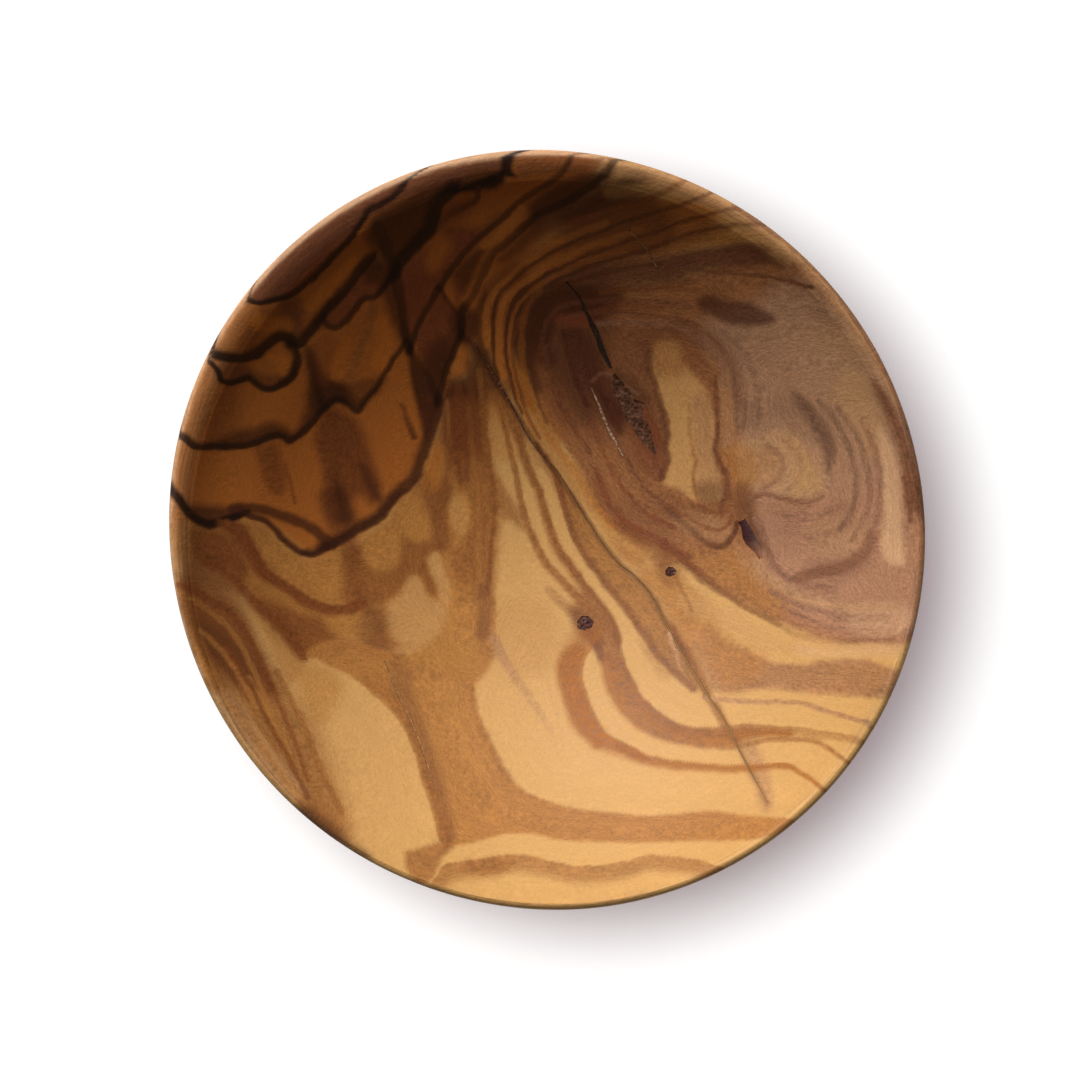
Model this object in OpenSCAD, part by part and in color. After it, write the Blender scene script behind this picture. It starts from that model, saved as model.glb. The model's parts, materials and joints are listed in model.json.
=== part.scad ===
// Round turned olive-wood dish: one body with a hollow set off centre, and the separate
// fillings and dead wood that sit in it: filled drying cracks, a bark pocket and knots.
// Origin at the middle of the foot on the table, +Z up.

/* [Dish] */
// Longest outside diameter, along the grain
dish_d = 120; // [100:1:160]
// Height of the lip above the table
dish_h = 35; // [29:0.5:50]
// Share of the diameter lost across the grain as the wood dried
shrink_share = 0.022; // [0:0.002:0.05]
// Direction of the longest diameter, anticlockwise from +X
grain_angle = -51; // [-90:1:90]

/* [Foot] */
// Diameter of the flat foot
foot_d = 54; // [40:1:64]
// Height of the foot below the bowl
foot_h = 3; // [1:0.25:4]
// How far the bowl stands out past the foot, across the grain
foot_step = 1; // [0.8:0.1:3]

/* [Hollow and lip] */
// Thickness of wood under the deepest point of the hollow
base_t = 7; // [6:0.25:10]
// Mean width of the lip along the grain, from the hollow's edge to the outside
lip_w = 3.4; // [3:0.1:6]
// Radius of the lip's rounded outer edge
lip_round = 0.9; // [0.4:0.1:1.2]
// How far the hollow lies off the middle of the dish
hollow_offset = 1.8; // [0:0.1:2]
// Direction in which the hollow is off the middle
hollow_angle = -75; // [-180:5:180]

/* [Crack fillings] */
// Depth of the fillings below the hollow's surface
fill_depth = 2.4; // [1:0.1:3]
// Widest part of the long crack
long_crack_w = 0.8; // [0.5:0.05:1.6]
// Widest part of the crack above the bark pocket
heart_crack_w = 1.2; // [0.6:0.05:2]
// Widest part of the split beside the bark pocket
heart_split_w = 0.5; // [0.4:0.05:0.8]
// Widest part of the two hairline cracks
hairline_w = 0.35; // [0.3:0.05:0.8]
// Clearance under each filling and each piece of dead wood
seat_gap = 0.1; // [0.05:0.05:0.3]
// Clearance on each side of a filling or a piece of dead wood
side_gap = 0.05; // [0.01:0.01:0.05]

/* [Dead wood] */
// Depth of the bark pocket and the knots below the hollow's surface
dead_wood_depth = 3; // [1:0.1:3.5]
// Widest part of the bark pocket
bark_pocket_w = 3.6; // [2:0.1:4]
// Diameter of the knot below the middle of the dish
lower_knot_d = 2.8; // [1.5:0.1:5]
// Diameter of the smallest knot
small_knot_d = 1.9; // [1:0.1:3]
// Width of the long knot near the right edge
long_knot_w = 1.9; // [1:0.1:4]
// Share of a round knot's diameter left at its inner end
knot_taper_share = 0.7; // [0.5:0.05:1]

/* [Hidden] */
$fn = 240;
arc_steps = 24;
round_steps = 8;

dish_r = dish_d / 2;
foot_r = foot_d / 2;

// Outline: an oval of four quarter arcs, flat_r across the grain and end_r at the ends of the
// longest diameter, which meet without a corner
narrowing = dish_r * shrink_share;
arc_difference = narrowing / (sqrt(2) - 1);
arc_shift = arc_difference / sqrt(2);
end_r = dish_r - arc_shift;
flat_r = end_r + arc_difference;
bowl_foot_r = foot_r + foot_step + narrowing;

// Hollow: a ball that meets the lip on a circle of radius mouth_r
mouth_r = dish_r - lip_w;
hollow_depth = dish_h - base_t;
hollow_r = (mouth_r ^ 2 + hollow_depth ^ 2) / (2 * hollow_depth);
hollow_centre = [
    hollow_offset * cos(hollow_angle),
    hollow_offset * sin(hollow_angle),
    base_t + hollow_r
];

// Outside curve: an arc about a point on the axis, from the foot to the lip's rounded edge,
// which it touches without a corner
edge_r = dish_r - lip_round;
edge_z = dish_h - lip_round;
curve_k = edge_r ^ 2 + edge_z ^ 2 - bowl_foot_r ^ 2 - foot_h ^ 2 - lip_round ^ 2;
curve_m = 2 * (edge_z - foot_h);
curve_a = curve_m ^ 2 - 4 * lip_round ^ 2;
curve_b = -2 * curve_k * curve_m + 8 * lip_round ^ 2 * foot_h;
curve_c = curve_k ^ 2 - 4 * lip_round ^ 2 * (bowl_foot_r ^ 2 + foot_h ^ 2);
curve_z = (-curve_b + sqrt(curve_b ^ 2 - 4 * curve_a * curve_c)) / (2 * curve_a);
curve_r = norm([bowl_foot_r, foot_h - curve_z]);
curve_start = atan2(foot_h - curve_z, bowl_foot_r);
curve_end = atan2(edge_z - curve_z, edge_r);

// Lines of the cracks, the bark pocket and the long knot, seen from above, as shares of
// dish_r, and their widths at those points, as shares of their widest part
long_crack_shares = [
    [-0.19, 0.49], [-0.10, 0.34], [-0.04, 0.23], [0.03, 0.15], [0.11, 0.02],
    [0.18, -0.08], [0.23, -0.12], [0.28, -0.18], [0.32, -0.26], [0.40, -0.40],
    [0.46, -0.49], [0.50, -0.57], [0.545, -0.655], [0.575, -0.71]
];
long_crack_width_shares = [
    0.3, 0.4, 0.4, 0.5, 0.5, 0.5, 0.6, 0.6, 0.8, 0.9, 1, 0.9, 0.5, 0.3
];
heart_crack_shares = [
    [0.05, 0.65], [0.085, 0.61], [0.105, 0.565], [0.13, 0.515], [0.155, 0.45], [0.18, 0.40]
];
heart_crack_width_shares = [0.25, 0.4, 0.7, 0.8, 1, 1];
bark_pocket_shares = [
    [0.175, 0.41], [0.195, 0.36], [0.225, 0.31], [0.255, 0.255], [0.285, 0.20]
];
bark_pocket_width_shares = [0.35, 1, 0.9, 0.6, 0.2];
heart_split_shares = [[0.115, 0.375], [0.135, 0.33], [0.165, 0.26], [0.20, 0.195]];
heart_split_width_shares = [0.5, 1, 0.9, 0.5];
left_hairline_shares = [
    [-0.425, -0.345], [-0.40, -0.41], [-0.36, -0.495], [-0.325, -0.58], [-0.295, -0.675]
];
left_hairline_width_shares = [0.7, 1, 1, 0.9, 0.7];
top_hairline_shares = [[0.215, 0.785], [0.26, 0.735], [0.295, 0.675]];
top_hairline_width_shares = [0.7, 1, 0.7];
long_knot_shares = [[0.512, 0.025], [0.527, -0.005], [0.545, -0.04], [0.56, -0.075]];
long_knot_width_shares = [0.5, 1, 0.8, 0.25];
lower_knot_shares = [0.10, -0.245];
small_knot_shares = [0.325, -0.11];

function arc(x, z, r, from, to, steps) = [
    for (i = [0:steps])
        let (a = from + (to - from) * i / steps)
        [x + r * cos(a), z + r * sin(a)]
];

function unit(v) = v / norm(v);

// Sideways direction at point i of a line, square to the points before and after it
function side(line, i) =
    let (
        before = line[max(i - 1, 0)],
        after = line[min(i + 1, len(line) - 1)],
        along = unit(after - before)
    )
    [-along.y, along.x];

// Closed outline of a line that has a width at each of its points
function ribbon(line, widths) = concat(
    [for (i = [0:len(line) - 1]) line[i] + side(line, i) * widths[i] / 2],
    [for (i = [len(line) - 1:-1:0]) line[i] - side(line, i) * widths[i] / 2]
);

// A quarter of the bowl without its hollow, turned about an axis of its own
module bowl_quarter(shift, outline_r) {
    translate([shift, 0])
        rotate(-45)
            rotate_extrude(angle = 90)
                polygon(concat(
                    [[0, foot_h]],
                    arc(outline_r - dish_r, curve_z, curve_r, curve_start, curve_end, arc_steps),
                    arc(outline_r - lip_round, edge_z, lip_round, curve_end, 90, round_steps),
                    [[0, dish_h]]
                ));
}

// Turned round, then narrowed across the grain as the wood dried
module bowl_blank() {
    rotate(grain_angle) {
        bowl_quarter(arc_shift, end_r);
        rotate(90) bowl_quarter(-arc_shift, flat_r);
        rotate(180) bowl_quarter(arc_shift, end_r);
        rotate(270) bowl_quarter(-arc_shift, flat_r);
    }
}

module hollow_ball(grown) {
    translate(hollow_centre)
        sphere(r = hollow_r + grown);
}

// What lies between the hollow's surface and a depth below it. The shapes below are the pockets
// with a piece of 0, and with a piece of 1 they are smaller by the clearances.
module seated(depth) {
    intersection() {
        children();
        hollow_ball(depth);
    }
}

module crack(line_shares, width_shares, width, gap) {
    linear_extrude(dish_h)
        polygon(ribbon(line_shares * dish_r, [for (share = width_shares) share * width - 2 * gap]));
}

module round_knot(place_shares, d, gap) {
    translate(place_shares * dish_r)
        cylinder(h = dish_h, r1 = d * knot_taper_share / 2 - gap, r2 = d / 2 - gap);
}

module long_crack_shape(piece) {
    seated(fill_depth - piece * seat_gap)
        crack(long_crack_shares, long_crack_width_shares, long_crack_w, piece * side_gap);
}

module heart_crack_shape(piece) {
    seated(fill_depth - piece * seat_gap)
        crack(heart_crack_shares, heart_crack_width_shares, heart_crack_w, piece * side_gap);
}

module heart_split_shape(piece) {
    seated(fill_depth - piece * seat_gap)
        crack(heart_split_shares, heart_split_width_shares, heart_split_w, piece * side_gap);
}

module left_hairline_shape(piece) {
    seated(fill_depth - piece * seat_gap)
        crack(left_hairline_shares, left_hairline_width_shares, hairline_w, piece * side_gap);
}

module top_hairline_shape(piece) {
    seated(fill_depth - piece * seat_gap)
        crack(top_hairline_shares, top_hairline_width_shares, hairline_w, piece * side_gap);
}

module bark_pocket_shape(piece) {
    seated(dead_wood_depth - piece * seat_gap)
        crack(bark_pocket_shares, bark_pocket_width_shares, bark_pocket_w, piece * side_gap);
}

module long_knot_shape(piece) {
    seated(dead_wood_depth - piece * seat_gap)
        crack(long_knot_shares, long_knot_width_shares, long_knot_w, piece * side_gap);
}

module small_knot_shape(piece) {
    seated(dead_wood_depth - piece * seat_gap)
        round_knot(small_knot_shares, small_knot_d, piece * side_gap);
}

module lower_knot_shape(piece) {
    seated(dead_wood_depth - piece * seat_gap)
        round_knot(lower_knot_shares, lower_knot_d, piece * side_gap);
}

module dish_body() {
    color("#c8935a")
    difference() {
        union() {
            cylinder(h = (foot_h + base_t) / 2, r = foot_r);
            bowl_blank();
        }
        hollow_ball(0);
        long_crack_shape(0);
        heart_crack_shape(0);
        heart_split_shape(0);
        left_hairline_shape(0);
        top_hairline_shape(0);
        bark_pocket_shape(0);
        long_knot_shape(0);
        small_knot_shape(0);
        lower_knot_shape(0);
    }
}

// A piece let into the hollow's surface, flush with it
module inlay() {
    difference() {
        children();
        hollow_ball(0);
    }
}

module long_crack_fill() {
    color("#5a4a35")
        inlay() long_crack_shape(1);
}

module heart_crack_fill() {
    color("#3d3426")
        inlay()
            difference() {
                heart_crack_shape(1);
                bark_pocket_shape(0);
            }
}

module heart_split_fill() {
    color("#8a7152")
        inlay() heart_split_shape(1);
}

module left_hairline_fill() {
    color("#b08a62")
        inlay() left_hairline_shape(1);
}

module top_hairline_fill() {
    color("#6e5238")
        inlay() top_hairline_shape(1);
}

module bark_pocket() {
    color("#4a2a1c")
        inlay() bark_pocket_shape(1);
}

module long_knot() {
    color("#4f2a20")
        inlay() long_knot_shape(1);
}

module small_knot() {
    color("#5a3020")
        inlay() small_knot_shape(1);
}

module lower_knot() {
    color("#46221a")
        inlay() lower_knot_shape(1);
}

dish_body();
long_crack_fill();
heart_crack_fill();
heart_split_fill();
left_hairline_fill();
top_hairline_fill();
bark_pocket();
long_knot();
small_knot();
lower_knot();
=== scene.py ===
import json
import math

import bpy
import numpy as np
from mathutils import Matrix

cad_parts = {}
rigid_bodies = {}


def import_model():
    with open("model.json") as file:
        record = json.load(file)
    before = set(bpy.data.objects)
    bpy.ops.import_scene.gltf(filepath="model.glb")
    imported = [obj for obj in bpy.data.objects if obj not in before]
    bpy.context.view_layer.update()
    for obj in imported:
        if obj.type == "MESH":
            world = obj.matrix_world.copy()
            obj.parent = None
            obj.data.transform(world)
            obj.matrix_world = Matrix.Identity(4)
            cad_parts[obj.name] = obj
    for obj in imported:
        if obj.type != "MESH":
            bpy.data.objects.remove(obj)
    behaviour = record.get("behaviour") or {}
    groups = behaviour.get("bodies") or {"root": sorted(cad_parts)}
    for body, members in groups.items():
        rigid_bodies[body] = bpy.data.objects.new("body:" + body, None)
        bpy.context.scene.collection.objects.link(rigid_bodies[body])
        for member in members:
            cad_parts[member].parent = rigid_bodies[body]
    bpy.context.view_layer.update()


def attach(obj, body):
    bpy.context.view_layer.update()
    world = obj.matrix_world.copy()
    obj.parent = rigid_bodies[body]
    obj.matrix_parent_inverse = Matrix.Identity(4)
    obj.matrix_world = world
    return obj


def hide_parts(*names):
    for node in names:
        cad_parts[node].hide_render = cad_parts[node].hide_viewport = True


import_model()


# The dish: one piece of olive wood, turned on a lathe with its hollow a little off centre. It dried
# to a slight oval, narrower across the grain, and was sanded and oiled by hand.
mm = 0.001
dish_r, dish_h, base_t = 60 * mm, 35 * mm, 7 * mm
foot_r, foot_h, foot_step = 27 * mm, 3 * mm, 1 * mm
mouth_r, lip_round = 56.6 * mm, 0.9 * mm
narrowing = 0.022 * dish_r
grain_angle = math.radians(-51)

# The outline is an oval of four quarter arcs, and the hollow is part of a ball.
arc_difference = narrowing / (math.sqrt(2) - 1)
arc_shift = arc_difference / math.sqrt(2)
end_r = dish_r - arc_shift
flat_r = end_r + arc_difference
hollow_shift, hollow_turn = 1.8 * mm, math.radians(-75)
hollow_x = hollow_shift * math.cos(hollow_turn)
hollow_y = hollow_shift * math.sin(hollow_turn)
hollow_depth = dish_h - base_t
hollow_r = (mouth_r ** 2 + hollow_depth ** 2) / (2 * hollow_depth)
hollow_z = base_t + hollow_r


def oval(turn, inset):
    """Points of the outline at these angles, moved in by inset."""
    turn = turn - grain_angle
    quarter = np.round(turn / (math.pi / 2))
    ends = quarter % 2 == 0
    middle = np.where(ends, arc_shift, -arc_shift)
    reach = np.where(ends, end_r, flat_r) - inset
    x = middle * np.cos(quarter * math.pi / 2) + reach * np.cos(turn)
    y = middle * np.sin(quarter * math.pi / 2) + reach * np.sin(turn)
    c, s = math.cos(grain_angle), math.sin(grain_angle)
    return np.stack([c * x - s * y, s * x + c * y], 1)


def circle(turn, r):
    return np.stack([hollow_x + r * np.cos(turn), hollow_y + r * np.sin(turn)], 1)


def ease(x):
    x = np.clip(x, 0, 1)
    return x * x * (3 - 2 * x)


lip_slope = 0.45
mouth_parts = 5


def lip_fall(turn):
    """How far the lip, rounded over by hand, falls from its crest to its inner edge."""
    return lip_slope * np.linalg.norm(oval(turn, lip_round) - circle(turn, mouth_r), axis=1)


def hollow_height(xy):
    """Height of the hollow's surface at these places: a ball, its outer fifth eased into the lip."""
    x, y = (xy - [hollow_x, hollow_y]).T
    r = np.hypot(x, y)
    eased = ease(mouth_parts * r / mouth_r - (mouth_parts - 1))
    return hollow_z - np.sqrt(hollow_r ** 2 - r ** 2) - lip_fall(np.arctan2(y, x)) * eased


def round_grid(cells):
    """A square grid drawn out to a disc of radius 1 with cells of about one size: its points, its
    faces seen from above, and the numbers of its edge points, anticlockwise."""
    u, v = np.meshgrid(np.linspace(-1, 1, cells + 1), np.linspace(-1, 1, cells + 1))
    wide = np.abs(u) > np.abs(v)
    r = np.where(wide, u, v)
    safe = np.where(r == 0, 1, r)
    turn = np.where(wide, math.pi / 4 * v / safe, math.pi / 2 - math.pi / 4 * u / safe)
    points = np.stack([(r * np.cos(turn)).ravel(), (r * np.sin(turn)).ravel()], 1)
    n = np.arange((cells + 1) ** 2).reshape(cells + 1, cells + 1)
    faces = np.stack([n[:-1, :-1], n[:-1, 1:], n[1:, 1:], n[1:, :-1]], -1).reshape(-1, 4)
    edge = np.concatenate([n[0, :-1], n[:-1, -1], n[-1, :0:-1], n[:0:-1, 0]])
    return points, faces, edge


def joined(inner, outer):
    """Faces between two rings of points. The outer ring may have half as many."""
    a, b = np.array(inner), np.array(outer)
    if len(a) == len(b):
        return np.stack([a, b, np.roll(b, -1), np.roll(a, -1)], 1).tolist()
    a0, a1, a2, b1 = a[::2], a[1::2], np.roll(a[::2], -1), np.roll(b, -1)
    return np.concatenate([np.stack(t, 1) for t in ((a0, b, a1), (a1, b, b1), (a1, b1, a2))]).tolist()


hollow_cells = 360
disc, hollow_faces, rim = round_grid(hollow_cells)
edge_break = 0.3 * mm
xy = disc * (mouth_r - edge_break) + [hollow_x, hollow_y]
places = [np.column_stack([xy, hollow_height(xy)])]
dish_faces = hollow_faces.tolist()
ring = rim
count = len(disc)
turns = -3 * math.pi / 4 + 2 * math.pi * np.arange(len(rim)) / len(rim)


def next_ring(xy, z):
    """Adds a ring of points outside the last one and joins the two."""
    global ring, count
    new = np.arange(count, count + len(xy))
    places.append(np.column_stack([xy, np.broadcast_to(z, len(xy))]))
    dish_faces.extend(joined(ring, new))
    ring, count = new, count + len(xy)


# From the hollow over the lip, which is rounded over to a crest near its outer edge.
break_in, break_down = 0.1 * mm, 0.15 * mm
lip_rings, lip_curve = 16, 1.7
next_ring(circle(turns, mouth_r - break_in), dish_h - lip_fall(turns) - break_down)
inner, outer = circle(turns, mouth_r + break_in), oval(turns, lip_round)
for share in np.linspace(0, 1, lip_rings):
    next_ring(inner + share * (outer - inner), dish_h - lip_fall(turns) * (1 - share) ** lip_curve)

# The outside is an arc about a point on the axis, and touches the rounded edge without a corner. The
# height of that point is the root of a square equation.
bowl_foot_r = foot_r + foot_step + narrowing
edge_r, edge_z = dish_r - lip_round, dish_h - lip_round
k = edge_r ** 2 + edge_z ** 2 - bowl_foot_r ** 2 - foot_h ** 2 - lip_round ** 2
m = 2 * (edge_z - foot_h)
a = m ** 2 - 4 * lip_round ** 2
b = -2 * k * m + 8 * lip_round ** 2 * foot_h
c = k ** 2 - 4 * lip_round ** 2 * (bowl_foot_r ** 2 + foot_h ** 2)
curve_z = (-b + math.sqrt(b ** 2 - 4 * a * c)) / (2 * a)
curve_r = math.hypot(bowl_foot_r, foot_h - curve_z)
curve_start = math.atan2(foot_h - curve_z, bowl_foot_r)
curve_end = math.atan2(edge_z - curve_z, edge_r)
edge_steps, wall_steps, fine_rings = 8, 58, 2
for turn in np.linspace(math.pi / 2, curve_end, edge_steps)[1:]:
    next_ring(oval(turns, lip_round * (1 - math.cos(turn))), edge_z + lip_round * math.sin(turn))
for i, turn in enumerate(np.linspace(curve_end, curve_start, wall_steps)[1:]):
    if i == fine_rings:
        turns = turns[::2]
    next_ring(oval(turns, dish_r - curve_r * math.cos(turn)), curve_z + curve_r * math.sin(turn))

# The foot, cut in with a small step, and its flat underside with a shallow recess. Its profile is
# given as radius and height in mm, from the step down and in to the recess.
foot_fillet, bowl_share = 0.3 * mm, 0.4
foot_profile = ((27.3, 3.0), (27.09, 2.91), (27.0, 2.7), (27.0, 2.0), (27.0, 1.2), (27.0, 0.5),
                (26.85, 0.15), (26.5, 0.0), (25.5, 0.0), (24.2, 0.0), (23.6, 0.12), (23.2, 0.3))
recess_r, recess_h = 22.6 * mm, 0.4 * mm
bowl_edge = oval(turns, dish_r - bowl_foot_r)
turns = turns[::2]
foot = np.stack([np.cos(turns), np.sin(turns)], 1)
next_ring(bowl_edge[::2] * bowl_share + foot * (foot_r + foot_fillet) * (1 - bowl_share), foot_h)
for r, z in foot_profile:
    next_ring(foot * r * mm, z * mm)
disc, under_faces, under_rim = round_grid(len(turns) // 4)
places.append(np.column_stack([disc * recess_r, np.full(len(disc), recess_h)]))
dish_faces.extend(joined(ring, under_rim + count))
dish_faces.extend((under_faces[:, ::-1] + count).tolist())

dish_mesh = bpy.data.meshes.new("dish")
dish_mesh.from_pydata(np.concatenate(places).tolist(), [], dish_faces)
dish = bpy.data.objects.new("dish", dish_mesh)
bpy.context.scene.collection.objects.link(dish)


# The cracks, the bark pocket and the knots. Each is a pocket in the dish with a piece of its own in it:
# its width and depth, its line in shares of the dish's radius, and shares of the width along it.
pockets = {
    "long_crack_fill": (0.8 * mm, 2.4 * mm,
        "-0.19,0.49 -0.10,0.34 -0.04,0.23 0.03,0.15 0.11,0.02 0.18,-0.08 0.23,-0.12 0.28,-0.18 "
        "0.32,-0.26 0.40,-0.40 0.46,-0.49 0.50,-0.57 0.545,-0.655 0.575,-0.71",
        (0.4, 0.4, 0.3, 0.2, 0.2, 0.2, 0.2, 0.25, 0.35, 0.4, 0.42, 0.36, 0.25, 0.15)),
    "heart_crack_fill": (1.2 * mm, 2.4 * mm,
        "0.05,0.65 0.085,0.61 0.105,0.565 0.13,0.515 0.155,0.45 0.169,0.424",
        (0.2, 0.3, 0.55, 0.7, 0.8, 0.35)),
    "heart_split_fill": (0.5 * mm, 2.4 * mm,
        "0.115,0.375 0.135,0.33 0.165,0.26 0.20,0.195", (0.5, 1, 0.9, 0.5)),
    "left_hairline_fill": (0.35 * mm, 2.4 * mm,
        "-0.425,-0.345 -0.40,-0.41 -0.36,-0.495 -0.325,-0.58 -0.295,-0.675", (0.7, 1, 1, 0.9, 0.7)),
    "top_hairline_fill": (0.35 * mm, 2.4 * mm, "0.215,0.785 0.26,0.735 0.295,0.675", (0.7, 1, 0.7)),
    "bark_pocket": (3.6 * mm, 3 * mm,
        "0.175,0.41 0.195,0.36 0.225,0.31 0.255,0.255 0.285,0.20", (0.12, 0.8, 0.9, 0.55, 0.1)),
    "long_knot": (1.9 * mm, 3 * mm, "0.512,0.025 0.527,-0.005 0.545,-0.04 0.56,-0.075",
        (0.5, 1, 0.8, 0.25)),
    "lower_knot": (2.8 * mm, 3 * mm, "0.10,-0.245", (1,)),
    "small_knot": (1.9 * mm, 3 * mm, "0.325,-0.11", (1,)),
}


def points_of(text):
    """Points written as x,y pairs."""
    return np.array([[float(v) for v in pair.split(",")] for pair in text.split()])


def curve_through(points, closed=False, steps=5):
    """A smooth line through points."""
    if closed:
        ring = np.vstack([points[-1], points, points[:2]])
    else:
        ring = np.vstack([2 * points[0] - points[1], points, 2 * points[-1] - points[-2]])
    line = []
    for a, b, c, d in zip(ring, ring[1:], ring[2:], ring[3:]):
        for t in np.arange(steps) / steps:
            line.append(0.5 * (2 * b + (c - a) * t + (2 * a - 5 * b + 4 * c - d) * t ** 2
                               + (3 * b - a - 3 * c + d) * t ** 3))
    if not closed:
        line.append(points[-1])
    return np.array(line)


def inlay(name, across, gap, top, depth):
    """A closed piece in the pocket of that name, gap smaller on each side. top gives the height of
    its face over the hollow's surface, from the share across, from -1 to 1, and along, from 0 to 1."""
    width, _, line_text, width_shares = pockets[name]
    line = points_of(line_text) * dish_r
    chance = np.random.default_rng(len(name))
    if len(line) == 1:
        # A pin knot is uneven all round and narrows downwards.
        reach_share, narrowed = 0.88, 0.8
        waves = ((2, 0.07, 1), (3, 0.05, 2.2), (7, 0.04, 0.4), (11, 0.02, 0))
        disc, faces, edge = round_grid(across)
        around = np.arctan2(disc[:, 1], disc[:, 0])
        reach = reach_share + sum(size * np.sin(times * around + start) for times, size, start in waves)
        out = disc * reach[:, None] * (width / 2 - gap)
        xy, lower = line[0] + out, line[0] + out * narrowed
        s, t = np.hypot(disc[:, 0], disc[:, 1]), around / (2 * math.pi) + 0.5
    else:
        step, least_rows, least_half = 0.3 * mm, 8, 0.06 * mm
        line = curve_through(line, steps=12)
        far = np.concatenate([[0], np.cumsum(np.linalg.norm(np.diff(line, axis=0), axis=1))])
        rows = max(least_rows, int(far[-1] / step))
        at = np.linspace(0, far[-1], rows)
        along = np.gradient(np.stack([np.interp(at, far, line[:, i]) for i in (0, 1)], 1), axis=0)
        along /= np.linalg.norm(along, axis=1)[:, None]
        left = np.stack([-along[:, 1], along[:, 0]], 1)
        half = np.interp(at, np.linspace(0, far[-1], len(width_shares)), width_shares) * width / 2
        # A crack wanders and its width changes, over about 1 to 2 mm.
        bend, past_end, width_change, wandering = 1.3 * mm, 4 * mm, 0.25, 0.3
        bends = np.arange(0, far[-1] + past_end, bend)
        half *= 1 + width_change * np.interp(at, bends, chance.uniform(-1, 1, len(bends)))
        half = np.convolve(np.pad(half, 2, mode="edge"), np.full(5, 0.2), "valid")
        wander = wandering * half * np.interp(at, bends, chance.uniform(-1, 1, len(bends)))
        middle = np.stack([np.interp(at, far, line[:, i]) for i in (0, 1)], 1) + left * wander[:, None]
        s = np.tile(np.linspace(-1, 1, across + 1), (rows, 1))
        t = np.tile(np.linspace(0, 1, rows)[:, None], (1, across + 1))
        out = s * np.maximum(half - gap, least_half)[:, None]
        xy = middle[:, None] + left[:, None] * out[..., None]
        xy, s, t = xy.reshape(-1, 2), s.ravel(), t.ravel()
        lower = xy
        n = np.arange(rows * (across + 1)).reshape(rows, across + 1)
        faces = np.stack([n[:-1, :-1], n[1:, :-1], n[1:, 1:], n[:-1, 1:]], -1).reshape(-1, 4)
        edge = np.concatenate([n[:-1, 0], n[-1, :-1], n[:0:-1, -1], n[0, :0:-1]])
    surface = np.column_stack([xy, hollow_height(xy)])
    up = np.array([hollow_x, hollow_y, hollow_z]) - surface
    up /= np.linalg.norm(up, axis=1)[:, None]
    bottom = np.column_stack([lower, hollow_height(lower)]) - up * depth
    face = surface + up * np.broadcast_to(top(s, t, xy), len(s))[:, None]
    sides = np.stack([edge, edge + len(face), np.roll(edge, -1) + len(face), np.roll(edge, -1)], 1)
    mesh = bpy.data.meshes.new(name)
    mesh.from_pydata(np.concatenate([face, bottom]).tolist(), [],
                     faces.tolist() + (faces[:, ::-1] + len(face)).tolist() + sides.tolist())
    return bpy.data.objects.new(name, mesh)


cutter_rise, knot_cells, crack_cells = 0.6 * mm, 24, 2


def over_surface(s, t, xy):
    """A cutter stands out of the wood, to cut right through its surface."""
    return cutter_rise


cutters = bpy.data.collections.new("cutters")
bpy.context.scene.collection.children.link(cutters)
for name, (_, depth, _, _) in pockets.items():
    cutter = inlay(name, knot_cells if "knot" in name else crack_cells, 0, over_surface, depth)
    cutter.name = "cutter_" + name
    cutters.objects.link(cutter)
cut = dish.modifiers.new("pockets", "BOOLEAN")
cut.operation, cut.solver, cut.operand_type, cut.collection = "DIFFERENCE", "MANIFOLD", "COLLECTION", cutters
uncut = dish.data
dish.data = bpy.data.meshes.new_from_object(dish.evaluated_get(bpy.context.evaluated_depsgraph_get()))
dish.modifiers.clear()
for cutter in list(cutters.objects):
    bpy.data.objects.remove(cutter)
bpy.data.collections.remove(cutters)
bpy.data.meshes.remove(uncut)
dish.data.name = "dish"
dish.data.shade_smooth()
dish.data.set_sharp_from_angle(angle=math.radians(42))


# The figure of the wood: broad areas and growth lines drawn over the photo, with painted light and
# shade along the lip's outer edge. All points are pixels of the photo in its 1080 by 1080 frame, which
# looks straight down on the dish.
photo_size, photo_pixel = 1080, 0.1565 * mm
photo_middle = np.array([547.1, 529.9])

# Tones of the wood, with how strongly the fine growth lines show in them
tones = {
    "straw": ("#c9985a", 0.22), "sand": ("#bf8e55", 0.4), "gold": ("#b26b2b", 0.55),
    "honey": ("#b07739", 0.6), "amber": ("#a95f22", 0.3), "tan": ("#a66d35", 0.7),
    "syrup": ("#a3672c", 0.5), "nut": ("#90592a", 0.8), "toffee": ("#99591c", 0.6),
    "chestnut": ("#763f1c", 0.7), "umber": ("#4a2411", 0.5), "ink": ("#1c0b05", 0.2),
    "russet": ("#793e23", 0.6), "smoke": ("#623622", 0.5), "plum": ("#6c3f27", 0.9),
    "mauve": ("#8a5f48", 0.9), "wine": ("#4a2216", 0.7), "rose": ("#915c36", 1), "blush": ("#ae7f62", 0.7),
    "ash": ("#aa7f5f", 0.7), "clay": ("#a87850", 0.7), "biscuit": ("#b3875e", 0.7),
    "slate": ("#76543f", 0.9), "bright": ("#cfa177", 0.5), "lip_brown": ("#a4754d", 0.5),
    "lip_dark": ("#74432a", 0.4), "orange": ("#c27026", 0.3),
}

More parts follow.
